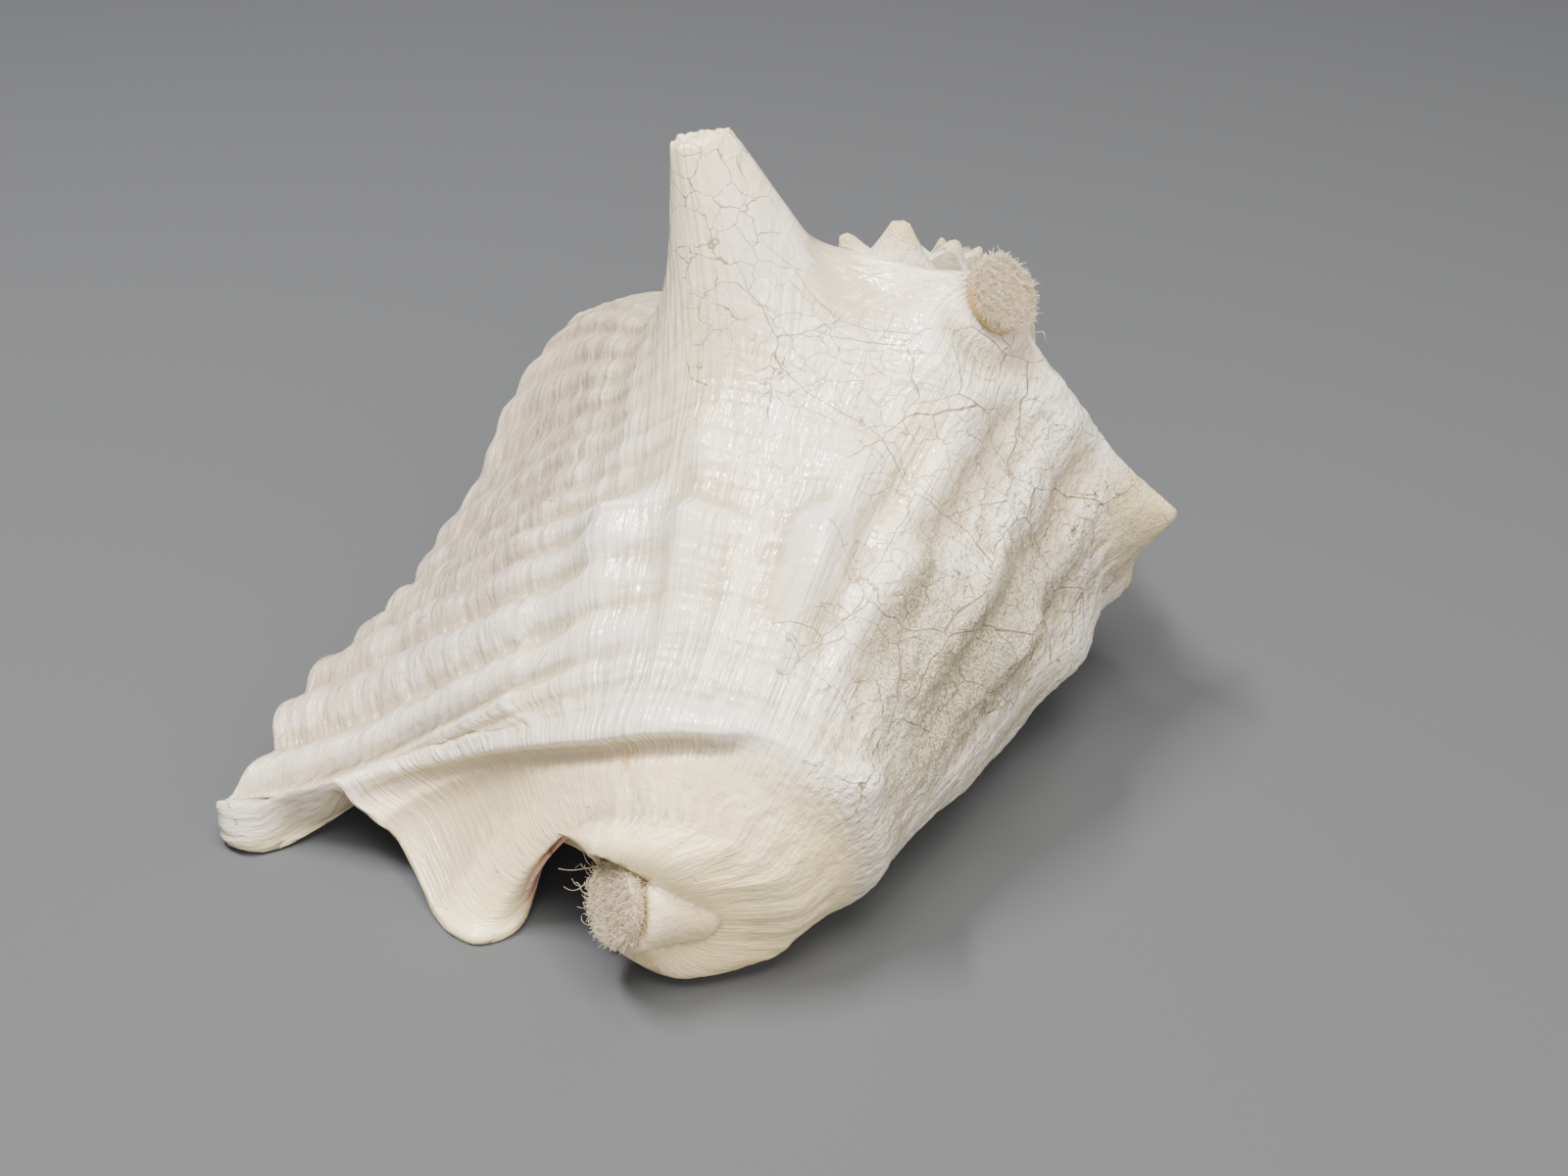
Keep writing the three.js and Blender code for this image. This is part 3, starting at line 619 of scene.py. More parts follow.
# The last whorl starts as a flat slab, one sheet for its outside and one for its inside, which
# is then bent to its shape.
def last_whorl():
    bm = bmesh.new()
    flat_sheet(bm, WRAP_TURNS, WRAP_ROWS, 1)
    flat_sheet(bm, INNER_TURNS, WRAP_ROWS, -1)
    sides = [side_of(bm, axis, value) for axis, value in ((0, 1), (0, -1), (1, 1), (1, -1))]
    bridges = [bmesh.ops.bridge_loops(bm, edges=side) for side in sides]
    lip = [edge for edge in bridges[0]["edges"] if abs(edge.verts[0].co.z - edge.verts[1].co.z) > 1]
    bmesh.ops.subdivide_edges(bm, edges=lip, cuts=EDGE_CUTS, use_grid_fill=True)
    bmesh.ops.recalc_face_normals(bm, faces=bm.faces)
    thing = mesh_from(bm, "last_whorl")
    flat = coordinates(thing.data)
    inside = flat[:, 2] < -0.999
    turn = np.where(inside, places_of(flat[:, 0], INNER_TURNS), places_of(flat[:, 0], WRAP_TURNS))
    turn = np.minimum(turn, EDGE_TURN)
    row = places_of(flat[:, 1], WRAP_ROWS)
    depth = (1 - flat[:, 2]) / 2
    points = np.empty_like(flat)
    outside = flat[:, 2] > 0.999
    points[outside] = outer_point(turn[outside], row[outside])
    points[inside] = inner_point(turn[inside], row[inside])
    edge = ~(outside | inside)
    outer = outer_point(turn[edge], row[edge])
    inner = inner_point(turn[edge], row[edge])
    ahead = unit(smooth_wrap(turn[edge], row[edge]) - smooth_wrap(turn[edge] - 1, row[edge]))
    through_wall = depth[edge]
    thick = np.linalg.norm(outer - inner, axis=1)
    slab = ease(6, 9.5, thick)
    bulge = np.sqrt(through_wall * (1 - through_wall)) * mix(0.5, 0.16, slab) * np.minimum(thick, 5)
    layer_waves = through_wall * thick / LAYER_MM + 0.8 * grain(outer, 7, 6)
    layers = (0.2 + 0.2 * slab) * np.sin(2 * np.pi * layer_waves)
    points[edge] = mix(outer, inner, through_wall[:, None]) + ahead * (bulge + layers)[:, None]
    lying = lie(points)
    room = np.where(lying[:, 0] < 0, WIDTH_ROOM, RIGHT_ROOM)
    over = np.maximum(np.abs(lying[:, 0]) - HALF_WIDTH + room, 0)
    lying[:, 0] -= np.sign(lying[:, 0]) * (over - room * (1 - np.exp(-over / room)))
    set_coordinates(thing.data, lying * MM)
    face_out(thing)
    facts = np.stack([turn, row, depth], -1)
    return thing, facts


def earlier_whorls():
    """A spiral sheet whose every turn starts on the seam row of the turn before."""
    spire_rows = np.concatenate([np.linspace(0, SHOULDER, 13), [0.152, 0.163, SEAM]])
    seam = len(spire_rows) - 1
    rows = np.concatenate([spire_rows, steps(SEAM, 0.02, 1)[1:]])
    bottom = len(rows) - 1
    end = CORE_WHORLS * CORE_STEPS
    front = end - CORE_STEPS
    bm = bmesh.new()
    bmesh.ops.create_grid(bm, x_segments=end, y_segments=bottom, size=1)
    flat = np.array([vert.co for vert in bm.verts])
    i = np.rint((flat[:, 0] + 1) / 2 * end).astype(int)
    j = np.rint((flat[:, 1] + 1) / 2 * bottom).astype(int)
    welded = (j == 0) & (i >= CORE_STEPS)
    turn = CORE_END - (end - i + welded * CORE_STEPS) * (360 / CORE_STEPS)
    row = np.where(welded, SEAM, rows[j])
    points = lie(core_point(turn, row)) * MM
    for vert, point in zip(bm.verts, points):
        vert.co = point
    corner_turn = [vert for vert, a, b in zip(bm.verts, i, j) if b == bottom and a in (front, end)]
    ring = [vert for vert, a, b in zip(bm.verts, i, j) if b == bottom and a >= front]
    face_side = [
        vert for vert, a, b in zip(bm.verts, i, j) if (a == front and b >= seam) or a == end
    ]
    unwanted = [vert for vert, a, b in zip(bm.verts, i, j) if b > seam and a < front]
    bmesh.ops.delete(bm, geom=unwanted, context="VERTS")
    bmesh.ops.contextual_create(bm, geom=corner_turn)
    welds = bmesh.ops.find_doubles(bm, verts=bm.verts, dist=1e-7)["targetmap"]
    face_side = [welds.get(vert, vert) for vert in face_side]
    bmesh.ops.weld_verts(bm, targetmap=welds)
    rim = [edge for edge in bm.edges if len(edge.link_faces) < 2]
    tip = lie(np.array([[0, TIP_Y, 0]]) + np.array(FRONT_BEND))[0] * MM
    apex = lie(np.array([[0, 1.0, 0]]))[0] * MM
    loops = {"ring": [], "end": [], "apex": []}
    for edge in rim:
        ends = set(edge.verts)
        if ends <= set(ring):
            loops["ring"].append(edge)
        if ends <= set(face_side):
            loops["end"].append(edge)
        if not ends <= set(ring) and not ends <= set(face_side):
            loops["apex"].append(edge)
    for name, middle in (("ring", tip), ("apex", apex)):
        cap = bmesh.ops.contextual_create(bm, geom=loops[name])
        fan = bmesh.ops.poke(bm, faces=cap["faces"])
        for vert in fan["verts"]:
            vert.co = middle
    cap = bmesh.ops.contextual_create(bm, geom=loops["end"])
    bmesh.ops.triangulate(bm, faces=cap["faces"])
    bmesh.ops.recalc_face_normals(bm, faces=bm.faces)
    thing = mesh_from(bm, "earlier_whorls")
    face_out(thing)
    return thing, points, np.stack([turn, row, np.zeros(len(turn))], -1)


def pad_turn(name, below):
    """Stands what is drawn along +Z on a pad's outer face, or that far below it."""
    centre, facing = PADS[name]
    facing = Vector(facing).normalized()
    middle = Vector(centre) + Vector(TO_CENTRE) - facing * below
    turned = Vector((0, 0, 1)).rotation_difference(facing).to_matrix().to_4x4()
    return Matrix.Scale(MM, 4) @ Matrix.Translation(middle) @ turned


def turned_on_lathe(name, profile, sides):
    """A closed round shape from its profile of radius and height."""
    bm = bmesh.new()
    line = [bm.verts.new((r, 0, z)) for r, z in profile]
    edges = [bm.edges.new(pair) for pair in zip(line, line[1:])]
    bmesh.ops.spin(bm, geom=line + edges, cent=(0, 0, 0), axis=(0, 0, 1), angle=2 * math.pi,
                   steps=sides, use_merge=True)
    bmesh.ops.remove_doubles(bm, verts=bm.verts, dist=1e-4)
    bmesh.ops.recalc_face_normals(bm, faces=bm.faces)
    return mesh_from(bm, name)


def dense(profile):
    """The same profile with a point every millimetre."""
    line = [profile[0]]
    for start, end in zip(profile, profile[1:]):
        count = max(1, round(math.dist(start, end)))
        line += [tuple(mix(np.array(start), np.array(end), k / count)) for k in range(1, count + 1)]
    return line


def seat_boss(name):
    """A round foot under a pad, spread on one side so that it runs into the front end."""
    boss = turned_on_lathe("boss", dense(BOSS_PROFILE), BOSS_SIDES)
    turned = pad_turn(name, PAD_THICK + GLUE_GAP)
    towards = turned.to_3x3().inverted() @ Vector(FOOT_TOWARDS)
    points = coordinates(boss.data)
    angle = np.arctan2(points[:, 1], points[:, 0]) - math.atan2(towards.y, towards.x)
    spread = np.maximum(np.cos(angle), 0) ** FOOT_NARROW * FOOT_SPREAD * np.maximum(-points[:, 2] - 0.8, 0)
    away = np.hypot(points[:, 0], points[:, 1])
    spread *= ease(BOSS_PROFILE[1][0] - 2, BOSS_PROFILE[1][0], away)
    points[:, :2] *= (1 + spread / np.maximum(away, 1))[:, None]
    set_coordinates(boss.data, points)
    boss.data.transform(turned)
    face_out(boss)
    return boss


def seat_cut(name):
    profile = [(0, 0), (SEAT_CLEAR, 0), (SEAT_CLEAR, SEAT_CUT), (0, SEAT_CUT)]
    cut = turned_on_lathe("cut", dense(profile), BOSS_SIDES)
    cut.data.transform(pad_turn(name, PAD_THICK + GLUE_GAP))
    face_out(cut)
    return cut


def apply_to(thing):
    """Makes a piece's modifiers part of its mesh."""
    seen = thing.evaluated_get(bpy.context.evaluated_depsgraph_get())
    mesh = bpy.data.meshes.new_from_object(seen)
    thing.modifiers.clear()
    thing.data = mesh


def join(thing, other, way):
    """Joins another closed shape to this one, or cuts it away."""
    step = thing.modifiers.new("join", "BOOLEAN")
    step.operation = way
    step.solver = "MANIFOLD"
    step.object = other
    apply_to(thing)
    bpy.data.objects.remove(other)


def table_block():
    bm = bmesh.new()
    bmesh.ops.create_cube(bm, size=1)
    bmesh.ops.scale(bm, verts=bm.verts, vec=(TABLE_SIDE * MM, TABLE_SIDE * MM, TABLE_DEEP * MM))
    bmesh.ops.translate(bm, verts=bm.verts, vec=(0, 0, -TABLE_DEEP * MM / 2))
    return mesh_from(bm, "table_block")


def cut_to_triangles(mesh):
    """Cuts a closed mesh into triangles. A face whose cut would double an edge is cut from its middle."""
    trial = bmesh.new()
    trial.from_mesh(mesh)
    bmesh.ops.triangulate(trial, faces=trial.faces)
    doubled = [[vert.index for vert in edge.verts] for edge in trial.edges if len(edge.link_faces) > 2]
    trial.free()
    bm = bmesh.new()
    bm.from_mesh(mesh)
    bm.verts.ensure_lookup_table()
    crossed = {}
    for a, b in doubled:
        start, end = bm.verts[a], bm.verts[b]
        for face in start.link_faces:
            joined = any(start in edge.verts and end in edge.verts for edge in face.edges)
            if end in face.verts[:] and not joined:
                crossed[face.index] = face
    bmesh.ops.poke(bm, faces=list(crossed.values()))
    bmesh.ops.triangulate(bm, faces=bm.faces)
    bm.to_mesh(mesh)
    bm.free()


# Each corner of the joined shell gets the turn, row and depth of the nearest corner that it came from,
# and how far away that one is, in mm.
def facts_of(mesh, sources):
    known = np.concatenate([points for points, facts in sources])
    facts = np.concatenate([facts for points, facts in sources])
    tree = kdtree.KDTree(len(known))
    for k, point in enumerate(known):
        tree.insert(point, k)
    tree.balance()
    found = [tree.find(vert.co) for vert in mesh.vertices]
    nearest = [index for spot, index, away in found]
    return (*facts[nearest].T, np.array([away for spot, index, away in found]) / MM)


shell, wrap_facts = last_whorl()
shell.name = "conch_shell"
wrap_points = coordinates(shell.data)
core, core_points, core_facts = earlier_whorls()
join(shell, core, "UNION")
join(shell, seat_boss("canal_felt_pad"), "UNION")
join(shell, seat_cut("canal_felt_pad"), "DIFFERENCE")
join(shell, table_block(), "DIFFERENCE")
cut_to_triangles(shell.data)
turn, row, depth, strayed = facts_of(shell.data, [(wrap_points, wrap_facts), (core_points, core_facts)])
shell.data.shade_smooth()

# What each corner is like: which parts are cream, pink, crusted, cracked, worn rough or inside.
# Some of these paint shade and highlight into the colour, as noted where they are made.
place_mm = coordinates(shell.data) / MM
blotch = grain(place_mm, 16, 11)
mottle = grain(place_mm, 5, 12)


def share(value):
    return np.clip(value, 0, 1)


def spots(*places):
    return patches(turn, row, places)


def note_on(mesh, name, values, kind="FLOAT", field="value"):
    """Keeps a value for each corner of a mesh, for its material to read."""
    layer = mesh.attributes.new(name, kind, "POINT")
    layer.data.foreach_set(field, values.astype(np.float32).ravel())


inside = ease(0.55, 0.95, depth)
front = ease(0.725, 0.79, row + 0.01 * blotch)
tips = np.zeros(len(turn))
for k in range(OLD_KNOBS):
    knob_turn = OLD_KNOB["first"] - k * OLD_KNOB["step"]
    near = np.abs(turn - knob_turn) < OLD_KNOB["step"] / 2
    reach = knob_distance(turn, row, knob_turn) / size(turn)
    tips = np.maximum(tips, near * (1 - ease(3.5, 9, reach)))
right_tip = 1 - ease(9, 21, knob_distance(turn, row, RIGHT_KNOB))
second_tip = 1 - ease(5, 12, knob_distance(turn, row, SECOND_KNOB))
tips = np.maximum(tips, np.maximum(right_tip, second_tip))
left_of_edge = ease(118, 150, turn) * (1 - ease(0.7, 0.76, row))
crusts = patches(turn, row, CRUSTS)
arch_side = over(0.902, 0.91, 0.935, 0.947, row) * over(122, 130, 171, 175, turn)
inside = np.maximum(inside, arch_side * (depth < 0.5))


def hollows(mesh, rounds):
    """How far the surface lies below the mean of what is round it, in mm."""
    corners = coordinates(mesh) / MM
    count = len(corners)
    facing = np.empty(count * 3)
    mesh.vertices.foreach_get("normal", facing)
    ends = np.empty(len(mesh.edges) * 2, int)
    mesh.edges.foreach_get("vertices", ends)
    first, second = ends.reshape(-1, 2).T
    beside = np.bincount(first, minlength=count) + np.bincount(second, minlength=count)
    mean = corners.copy()
    for _ in range(rounds):
        total = [
            np.bincount(first, mean[second, axis], count) + np.bincount(second, mean[first, axis], count)
            for axis in range(3)
        ]
        mean = np.stack(total, -1) / beside[:, None]
    return ((mean - corners) * facing.reshape(-1, 3)).sum(1)


narrow_hollow = hollows(shell.data, 8)
wide_hollow = hollows(shell.data, 50)
crazed = spots(
    (104, 0.24, 14, 0.12, 1.1), (109, 0.14, 10, 0.09, 1.1), (80, 0.3, 16, 0.1, 0.9),
    (56, 0.34, 16, 0.16, 1.1), (38, 0.44, 22, 0.22, 1.2), (10, 0.35, 20, 0.2, 0.9), (62, 0.6, 14, 0.07, 1.2),
)
less_pink = 1 - 0.4 * ease(0.5, 0.65, row)
less_silky = 1 - 0.75 * ease(120, 145, turn) * (row < CREST)
# The lower right side, which faces down and away from the light, gets painted shade.
right_side = (1 - ease(38, 62, turn)) * ease(0.22, 0.44, row) * ease(-80, -40, turn)
surface = {
    "cream": share(front * 0.85 + tips * 0.9 + spots((150, 0.2, 30, 0.12, 0.25), (109, 0.16, 11, 0.11, 0.5))),
    "pink": share(left_of_edge * 0.95 * less_pink + spots((125, 0.3, 30, 0.2, 0.4))),
    "crust": share(crusts + 0.25 * mottle * (crusts > 0.2)),
    "craze": share(crazed),
    "rough": share(tips * 0.9 + 0.25 * (1 - ease(-70, -30, turn))),
    "inside": inside,
    # Painted shade and highlight: darker in hollows and in the dip between the tall knob and the next,
    # lighter on ridges.
    "hollow_shading": np.clip(narrow_hollow * 2.6 + wide_hollow * 0.7 + spots((85, 0.06, 17, 0.07, 1)), -1, 1),
    "silky": ease(40, 66, turn) * less_silky * (1 - 0.6 * front) * (1 - spots((85, 0.06, 18, 0.08, 0.95))),
    "front": front * (depth < 0.5),
    "plain": ease(0.4, 0.9, strayed),
    "tall": 1 - ease(12, 24, knob_distance(turn, row, RAGGED["turn"])),
    "pocked": over(-90, -60, 38, 66, turn) * over(0.14, 0.22, 0.7, 0.8, row),
    # Painted shade on the lower right side and in the dip between the tall knob and the next.
    "painted_shade": share(right_side + spots((85, 0.05, 17, 0.07, 0.8))),
    "stain": share(spots((116.5, 0.79, 1.8, 0.016, 1), (117, 0.76, 1, 0.02, 0.5))),
}
for name, values in surface.items():
    note_on(shell.data, name, values)
growth = np.stack([round_mm(turn), row * ROW_MM, depth * 5], -1)
note_on(shell.data, "growth", growth, "FLOAT_VECTOR", "vector")


class Finish:
    """A material that is built step by step from its nodes."""

    def __init__(self, name):
        self.material = bpy.data.materials.new(name)
        self.material.use_nodes = True
        self.tree = self.material.node_tree
        self.shader = self.tree.nodes["Principled BSDF"]

    def node(self, kind, inputs=(), **settings):
        made = self.tree.nodes.new(kind)
        for key, value in settings.items():
            setattr(made, key, value)
        for key, value in dict(inputs).items():
            if isinstance(value, bpy.types.NodeSocket):
                self.tree.links.new(value, made.inputs[key])
            else:
                made.inputs[key].default_value = value
        return made

    def read(self, name, vector=False):
        made = self.node("ShaderNodeAttribute", attribute_name=name)
        return made.outputs["Vector" if vector else "Fac"]

    def maths(self, operation, a, b=0.0, clamp=False):
        return self.node("ShaderNodeMath", {0: a, 1: b}, operation=operation, use_clamp=clamp).outputs[0]

    def times(self, a, b):
        return self.maths("MULTIPLY", a, b)

    def drive(self, name, value):
        """Lets a value that changes over the surface set one of the finish's own inputs."""
        self.tree.links.new(value, self.shader.inputs[name])

    def stretch(self, vector, scales):
        return self.node("ShaderNodeVectorMath", {0: vector, 1: scales}, operation="MULTIPLY").outputs[0]

    def clouds(self, vector, scale, detail=3, rough=0.55):
        made = self.node("ShaderNodeTexNoise", {"Vector": vector, "Scale": scale, "Detail": detail,
                                                "Roughness": rough})
        return made.outputs["Fac"]

    def between(self, value, low, high, out_low=0.0, out_high=1.0):
        made = self.node("ShaderNodeMapRange", {"Value": value, "From Min": low, "From Max": high,
                                                "To Min": out_low, "To Max": out_high})
        return made.outputs["Result"]

    def tint(self, base, colour, amount):
        made = self.node("ShaderNodeMix", {0: amount, 6: base, 7: colour}, data_type="RGBA")
        return made.outputs[2]

    def raise_up(self, height, distance, strength=1.0, under=None):
        inputs = {"Height": height, "Distance": distance, "Strength": strength}
        if under is not None:
            inputs["Normal"] = under
        return self.node("ShaderNodeBump", inputs).outputs["Normal"]


# Lime that is satin and glossy in turns, with growth lines, fine brown craze lines and a sandy crust.
# Shade is painted into its hollows, onto its lower right side and into the dip behind the tall knob, and
# highlight onto its ridges.
IVORY = (0.87, 0.76, 0.54, 1)
COOL_WHITE = (0.86, 0.82, 0.72, 1)
LAVENDER = (0.43, 0.34, 0.275, 1)
CREAM = (0.97, 0.79, 0.39, 1)
ROSE = (0.80, 0.57, 0.38, 1)
BEIGE_LINE = (0.55, 0.45, 0.31, 1)
# Painted shade for hollows, and painted highlight for ridges.
PAINTED_HOLLOW_SHADE = (0.50, 0.41, 0.28, 1)
PAINTED_RIDGE_HIGHLIGHT = (0.93, 0.90, 0.84, 1)
# Painted shade, for the lower right side and the dip between the tall knob and the next.
PAINTED_SHADE_BEIGE = (0.48, 0.41, 0.265, 1)
CRUST = (0.46, 0.39, 0.24, 1)
CRUST_PALE = (0.94, 0.87, 0.66, 1)
CRAZE_BROWN = (0.27, 0.20, 0.115, 1)
MOUTH_PEACH = (0.84, 0.53, 0.38, 1)
MOUTH_OLIVE = (0.62, 0.54, 0.36, 1)
STAIN = (0.55, 0.36, 0.09, 1)
lime = Finish("bleached_lime")
place = lime.node("ShaderNodeTexCoord").outputs["Object"]
grown = lime.read("growth", vector=True)
cream, pink, crust, craze, rough, within, hollow_shading, silky, forward, plain, tall, pocked, painted_shade, stain = (
    lime.read(name) for name in surface
)

# Where the finish is plain the shell was cut or joined, and nothing has grown there.
steady = lime.maths("SUBTRACT", 1.0, plain)
large = lime.clouds(place, 28, 3)
fine_lines = lime.clouds(lime.stretch(grown, (0.9, 0.04, 1)), 1, 4, 0.65)
broad_lines = lime.clouds(lime.stretch(grown, (0.3, 0.03, 1)), 1, 3, 0.6)
lines = lime.times(lime.between(fine_lines, 0.48, 0.68), lime.between(broad_lines, 0.35, 0.6))
bands = lime.between(lime.clouds(lime.stretch(grown, (0.03, 0.42, 1)), 1, 3, 0.6), 0.52, 0.7, 0, 0.5)
# Painted highlight: lighter on ridges, which stand above what is round them.
edges = lime.between(hollow_shading, -0.08, -0.8, 0, 0.45)
pinkish = lime.between(lime.clouds(place, 70, 3), 0.3, 0.7, 0.7, 1.0)
# How strongly the painted shade shows, from patch to patch.
shade_mottle = lime.between(lime.clouds(place, 120, 4), 0.3, 0.7, 0.12, 0.65)
creamy = lime.between(lime.clouds(place, 55, 4), 0.3, 0.65, 0.5, 1.0)
rosy = lime.between(lime.clouds(lime.stretch(place, (1, 1, 0.5)), 110, 4, 0.6), 0.5, 0.72, 0, 0.55)
sand = lime.clouds(place, 1500, 3, 0.7)
crust_edge = lime.between(lime.maths("ADD", crust, lime.clouds(place, 260, 4, 0.7)), 0.68, 0.95)
crusted = lime.maths("MULTIPLY", crust_edge, crust, True)
crust_colour = lime.tint(CRUST, CRUST_PALE, lime.between(sand, 0.42, 0.6))

WARP_SCALE = (0.09, 0.09, 0.09)
WARP_REACH = (6, 6, 0)
BEND_REACH = (0.009, 0.009, 0.009)
warp = lime.node("ShaderNodeTexNoise", {"Vector": lime.stretch(grown, WARP_SCALE), "Scale": 1, "Detail": 2,
                                        "Roughness": 0.5}).outputs["Color"]
warped = lime.node("ShaderNodeVectorMath", {0: warp, 1: WARP_REACH, 2: grown},
                   operation="MULTIPLY_ADD").outputs[0]
bent = lime.node("ShaderNodeTexNoise", {"Vector": place, "Scale": 95, "Detail": 3}).outputs["Color"]
bent = lime.node("ShaderNodeVectorMath", {0: bent, 1: BEND_REACH, 2: place},
                 operation="MULTIPLY_ADD").outputs[0]
# Cracks of three sizes: what they follow, scale, half-width, least craze, and how much they show.
low_down = lime.maths("SUBTRACT", 1.0, tall)
CRACKS = [
    (warped, (0.055, 0.05, 0), 0.0072, 0.2, low_down),
    (bent, (135, 135, 135), 0.017, 0.55, 0.85),
    (warped, (0.33, 0.22, 0), 0.022, 0.7, lime.times(low_down, 0.55)),
]
gaps = lime.between(lime.clouds(lime.stretch(grown, (0.11, 0.08, 1)), 1, 2), 0.35, 0.65, -0.35, 0.3)
crazing = lime.maths("ADD", craze, gaps)
cracks = 0.0
for follows, scales, half, least, show in CRACKS:
    cells = lime.node("ShaderNodeTexVoronoi", {"Vector": lime.stretch(follows, scales), "Scale": 1.0},
                      feature="DISTANCE_TO_EDGE").outputs["Distance"]
    line = lime.times(lime.between(cells, half * 0.4, half, 1, 0), lime.between(crazing, least, least + 0.15))
    cracks = lime.maths("MAXIMUM", lime.times(line, show), cracks)
MOUTH_FROM = -0.02
MOUTH_TO = -0.07
sideways = lime.node("ShaderNodeSeparateXYZ", {0: place}).outputs["X"]
mouth = lime.tint(MOUTH_PEACH, MOUTH_OLIVE, lime.between(sideways, MOUTH_FROM, MOUTH_TO))

# The colours lie over each other in this order, each with how much of it shows.
colour = IVORY
for paint, amount in (
    (COOL_WHITE, lime.between(large, 0.42, 0.6)),
    (LAVENDER, lime.times(pink, pinkish)),
    (BEIGE_LINE, lime.times(lines, lime.times(steady, 0.65))),
    # Painted shade on the lower right side and in the dip between the tall knob and the next.
    (PAINTED_SHADE_BEIGE, lime.times(painted_shade, shade_mottle)),
    (COOL_WHITE, lime.times(bands, lime.between(pink, 0, 1, 1, 0.3))),
    # Painted highlight on ridges.
    (PAINTED_RIDGE_HIGHLIGHT, lime.times(edges, lime.between(pink, 0, 1, 1, 0.25))),
    (CREAM, lime.times(cream, creamy)),
    (ROSE, lime.times(forward, rosy)),
    # Painted shade in hollows and in the dip between the tall knob and the next.
    (PAINTED_HOLLOW_SHADE, lime.between(hollow_shading, 0.03, 0.8, 0, 0.65)),
    (crust_colour, lime.times(crusted, 0.95)),
    (CRAZE_BROWN, cracks),
    (STAIN, lime.times(stain, 0.8)),
    (mouth, within),
):
    colour = lime.tint(colour, paint, amount)
lime.drive("Base Color", colour)

worn_rough = lime.maths("MAXIMUM", crusted, rough)
roughness = lime.between(lime.clouds(place, 45, 3), 0.35, 0.65, 0.05, 0.15)
roughness = lime.maths("ADD", roughness, lime.times(worn_rough, 0.45))
roughness = lime.maths("ADD", roughness, lime.between(silky, 0, 1, 0.24, 0))
lime.drive("Roughness", lime.maths("MINIMUM", roughness, 0.95))
calm = lime.times(steady, lime.between(forward, 0, 1, 1, 0.45))
growth_lines = lime.clouds(lime.stretch(grown, (0.72, 0.07, 1)), 1, 1.6, 0.5)
cord_lines = lime.clouds(lime.stretch(grown, (0.09, 0.5, 1)), 1, 1.2, 0.5)
fine_wrinkles = lime.clouds(lime.stretch(grown, (0.55, 0.3, 1)), 1, 3, 0.6)
pocks = lime.clouds(place, 420, 3, 0.6)
# The fine relief of the finish: what rises, by how many metres, and how strongly.
normal = None
for height, distance, strength in (
    (lime.times(growth_lines, lime.times(calm, lime.between(silky, 0, 1, 0.45, 1))), 0.0009, 0.9),
    (lime.times(cord_lines, calm), 0.0004, 0.8),
    (lime.times(fine_wrinkles, lime.times(calm, lime.between(silky, 0, 1, 1, 0.1))), 0.0011, 0.9),
    (lime.times(pocks, lime.maths("MAXIMUM", pocked, lime.between(plain, 0, 1, 0, 0.35))), 0.0017, 0.9),
    (lime.times(sand, worn_rough), 0.0014, 1.0),
    (lime.times(cracks, -1.0), 0.00015, 0.6),
):
    normal = lime.raise_up(height, distance, strength, normal)
lime.drive("Normal", normal)
lime.shader.inputs["IOR"].default_value = 1.6
shell.data.materials.clear()
shell.data.materials.append(lime.material)
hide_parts("shell")
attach(shell, "root")

# The two felt pads
# Rounds of thick wool felt, of the kind that keeps furniture from scratching a floor. They are glued
# on with a yellow glue that has soaked into the lowest part of their sides, and their fibres stand
# out all over; a few long ones have come loose from the pad at the canal.
BODY_RADIUS = 8.7
BODY_HALF = 1.75
BODY_SQUARE = 5
BODY_CUTS = 6
FIBRES = 5200
FIBRE_SIDES = 3
FIBRE_CUTS = 3
LOOSE_CUTS = 15
FIBRE_RADIUS = 0.075
SIDE_SHARE = {"spine_felt_pad": 0.05, "canal_felt_pad": 0.36}
GLUE_LINE = {"spine_felt_pad": 2.9, "canal_felt_pad": 1.1}
LOOSE_FIBRES = {"spine_felt_pad": 2, "canal_felt_pad": 34}
LOOSE_TOWARDS = {"spine_felt_pad": 0.5, "canal_felt_pad": 2.4}


def corners_and_faces(bm):
    corners = np.array([vert.co for vert in bm.verts])
    faces = np.array([[vert.index for vert in face.verts] for face in bm.faces])
    bm.free()
    return corners, faces


def fibre_template(cuts):
    """One straight fibre along +Z, from 0 to 1, a little thinner at its tip."""
    bm = bmesh.new()
    bmesh.ops.create_cone(bm, cap_ends=True, segments=FIBRE_SIDES, radius1=1, radius2=0.6, depth=1)
    long_edges = [edge for edge in bm.edges if abs(edge.verts[0].co.z - edge.verts[1].co.z) > 0.5]
    bmesh.ops.subdivide_edges(bm, edges=long_edges, cuts=cuts, use_grid_fill=True)
    bmesh.ops.translate(bm, verts=bm.verts, vec=(0, 0, 0.5))
    bmesh.ops.triangulate(bm, faces=bm.faces)
    return corners_and_faces(bm)


def pad_body():
    """A round of felt with soft edges, standing on z = 0, its faces uneven."""
    bm = bmesh.new()
    bmesh.ops.create_icosphere(bm, subdivisions=BODY_CUTS, radius=1)
    points = np.array([vert.co for vert in bm.verts])
    flat = np.linalg.norm(points[:, :2], axis=1) / BODY_RADIUS
    high = np.abs(points[:, 2]) / BODY_HALF
    reach = (flat ** BODY_SQUARE + high ** BODY_SQUARE) ** (-1 / BODY_SQUARE)
    shaped = points * reach[:, None] + (0, 0, BODY_HALF + 0.05)
    lumps = 0.16 * grain(shaped, 1.1, 21) + 0.22 * grain(shaped, 4, 22)
    free = ease(0.2, 1.0, shaped[:, 2])
    shaped += unit(points * (1, 1, 3)) * (lumps * free)[:, None]
    for vert, point in zip(bm.verts, shaped):
        vert.co = point
    bmesh.ops.recalc_face_normals(bm, faces=bm.faces)
    bmesh.ops.triangulate(bm, faces=bm.faces)
    return corners_and_faces(bm)


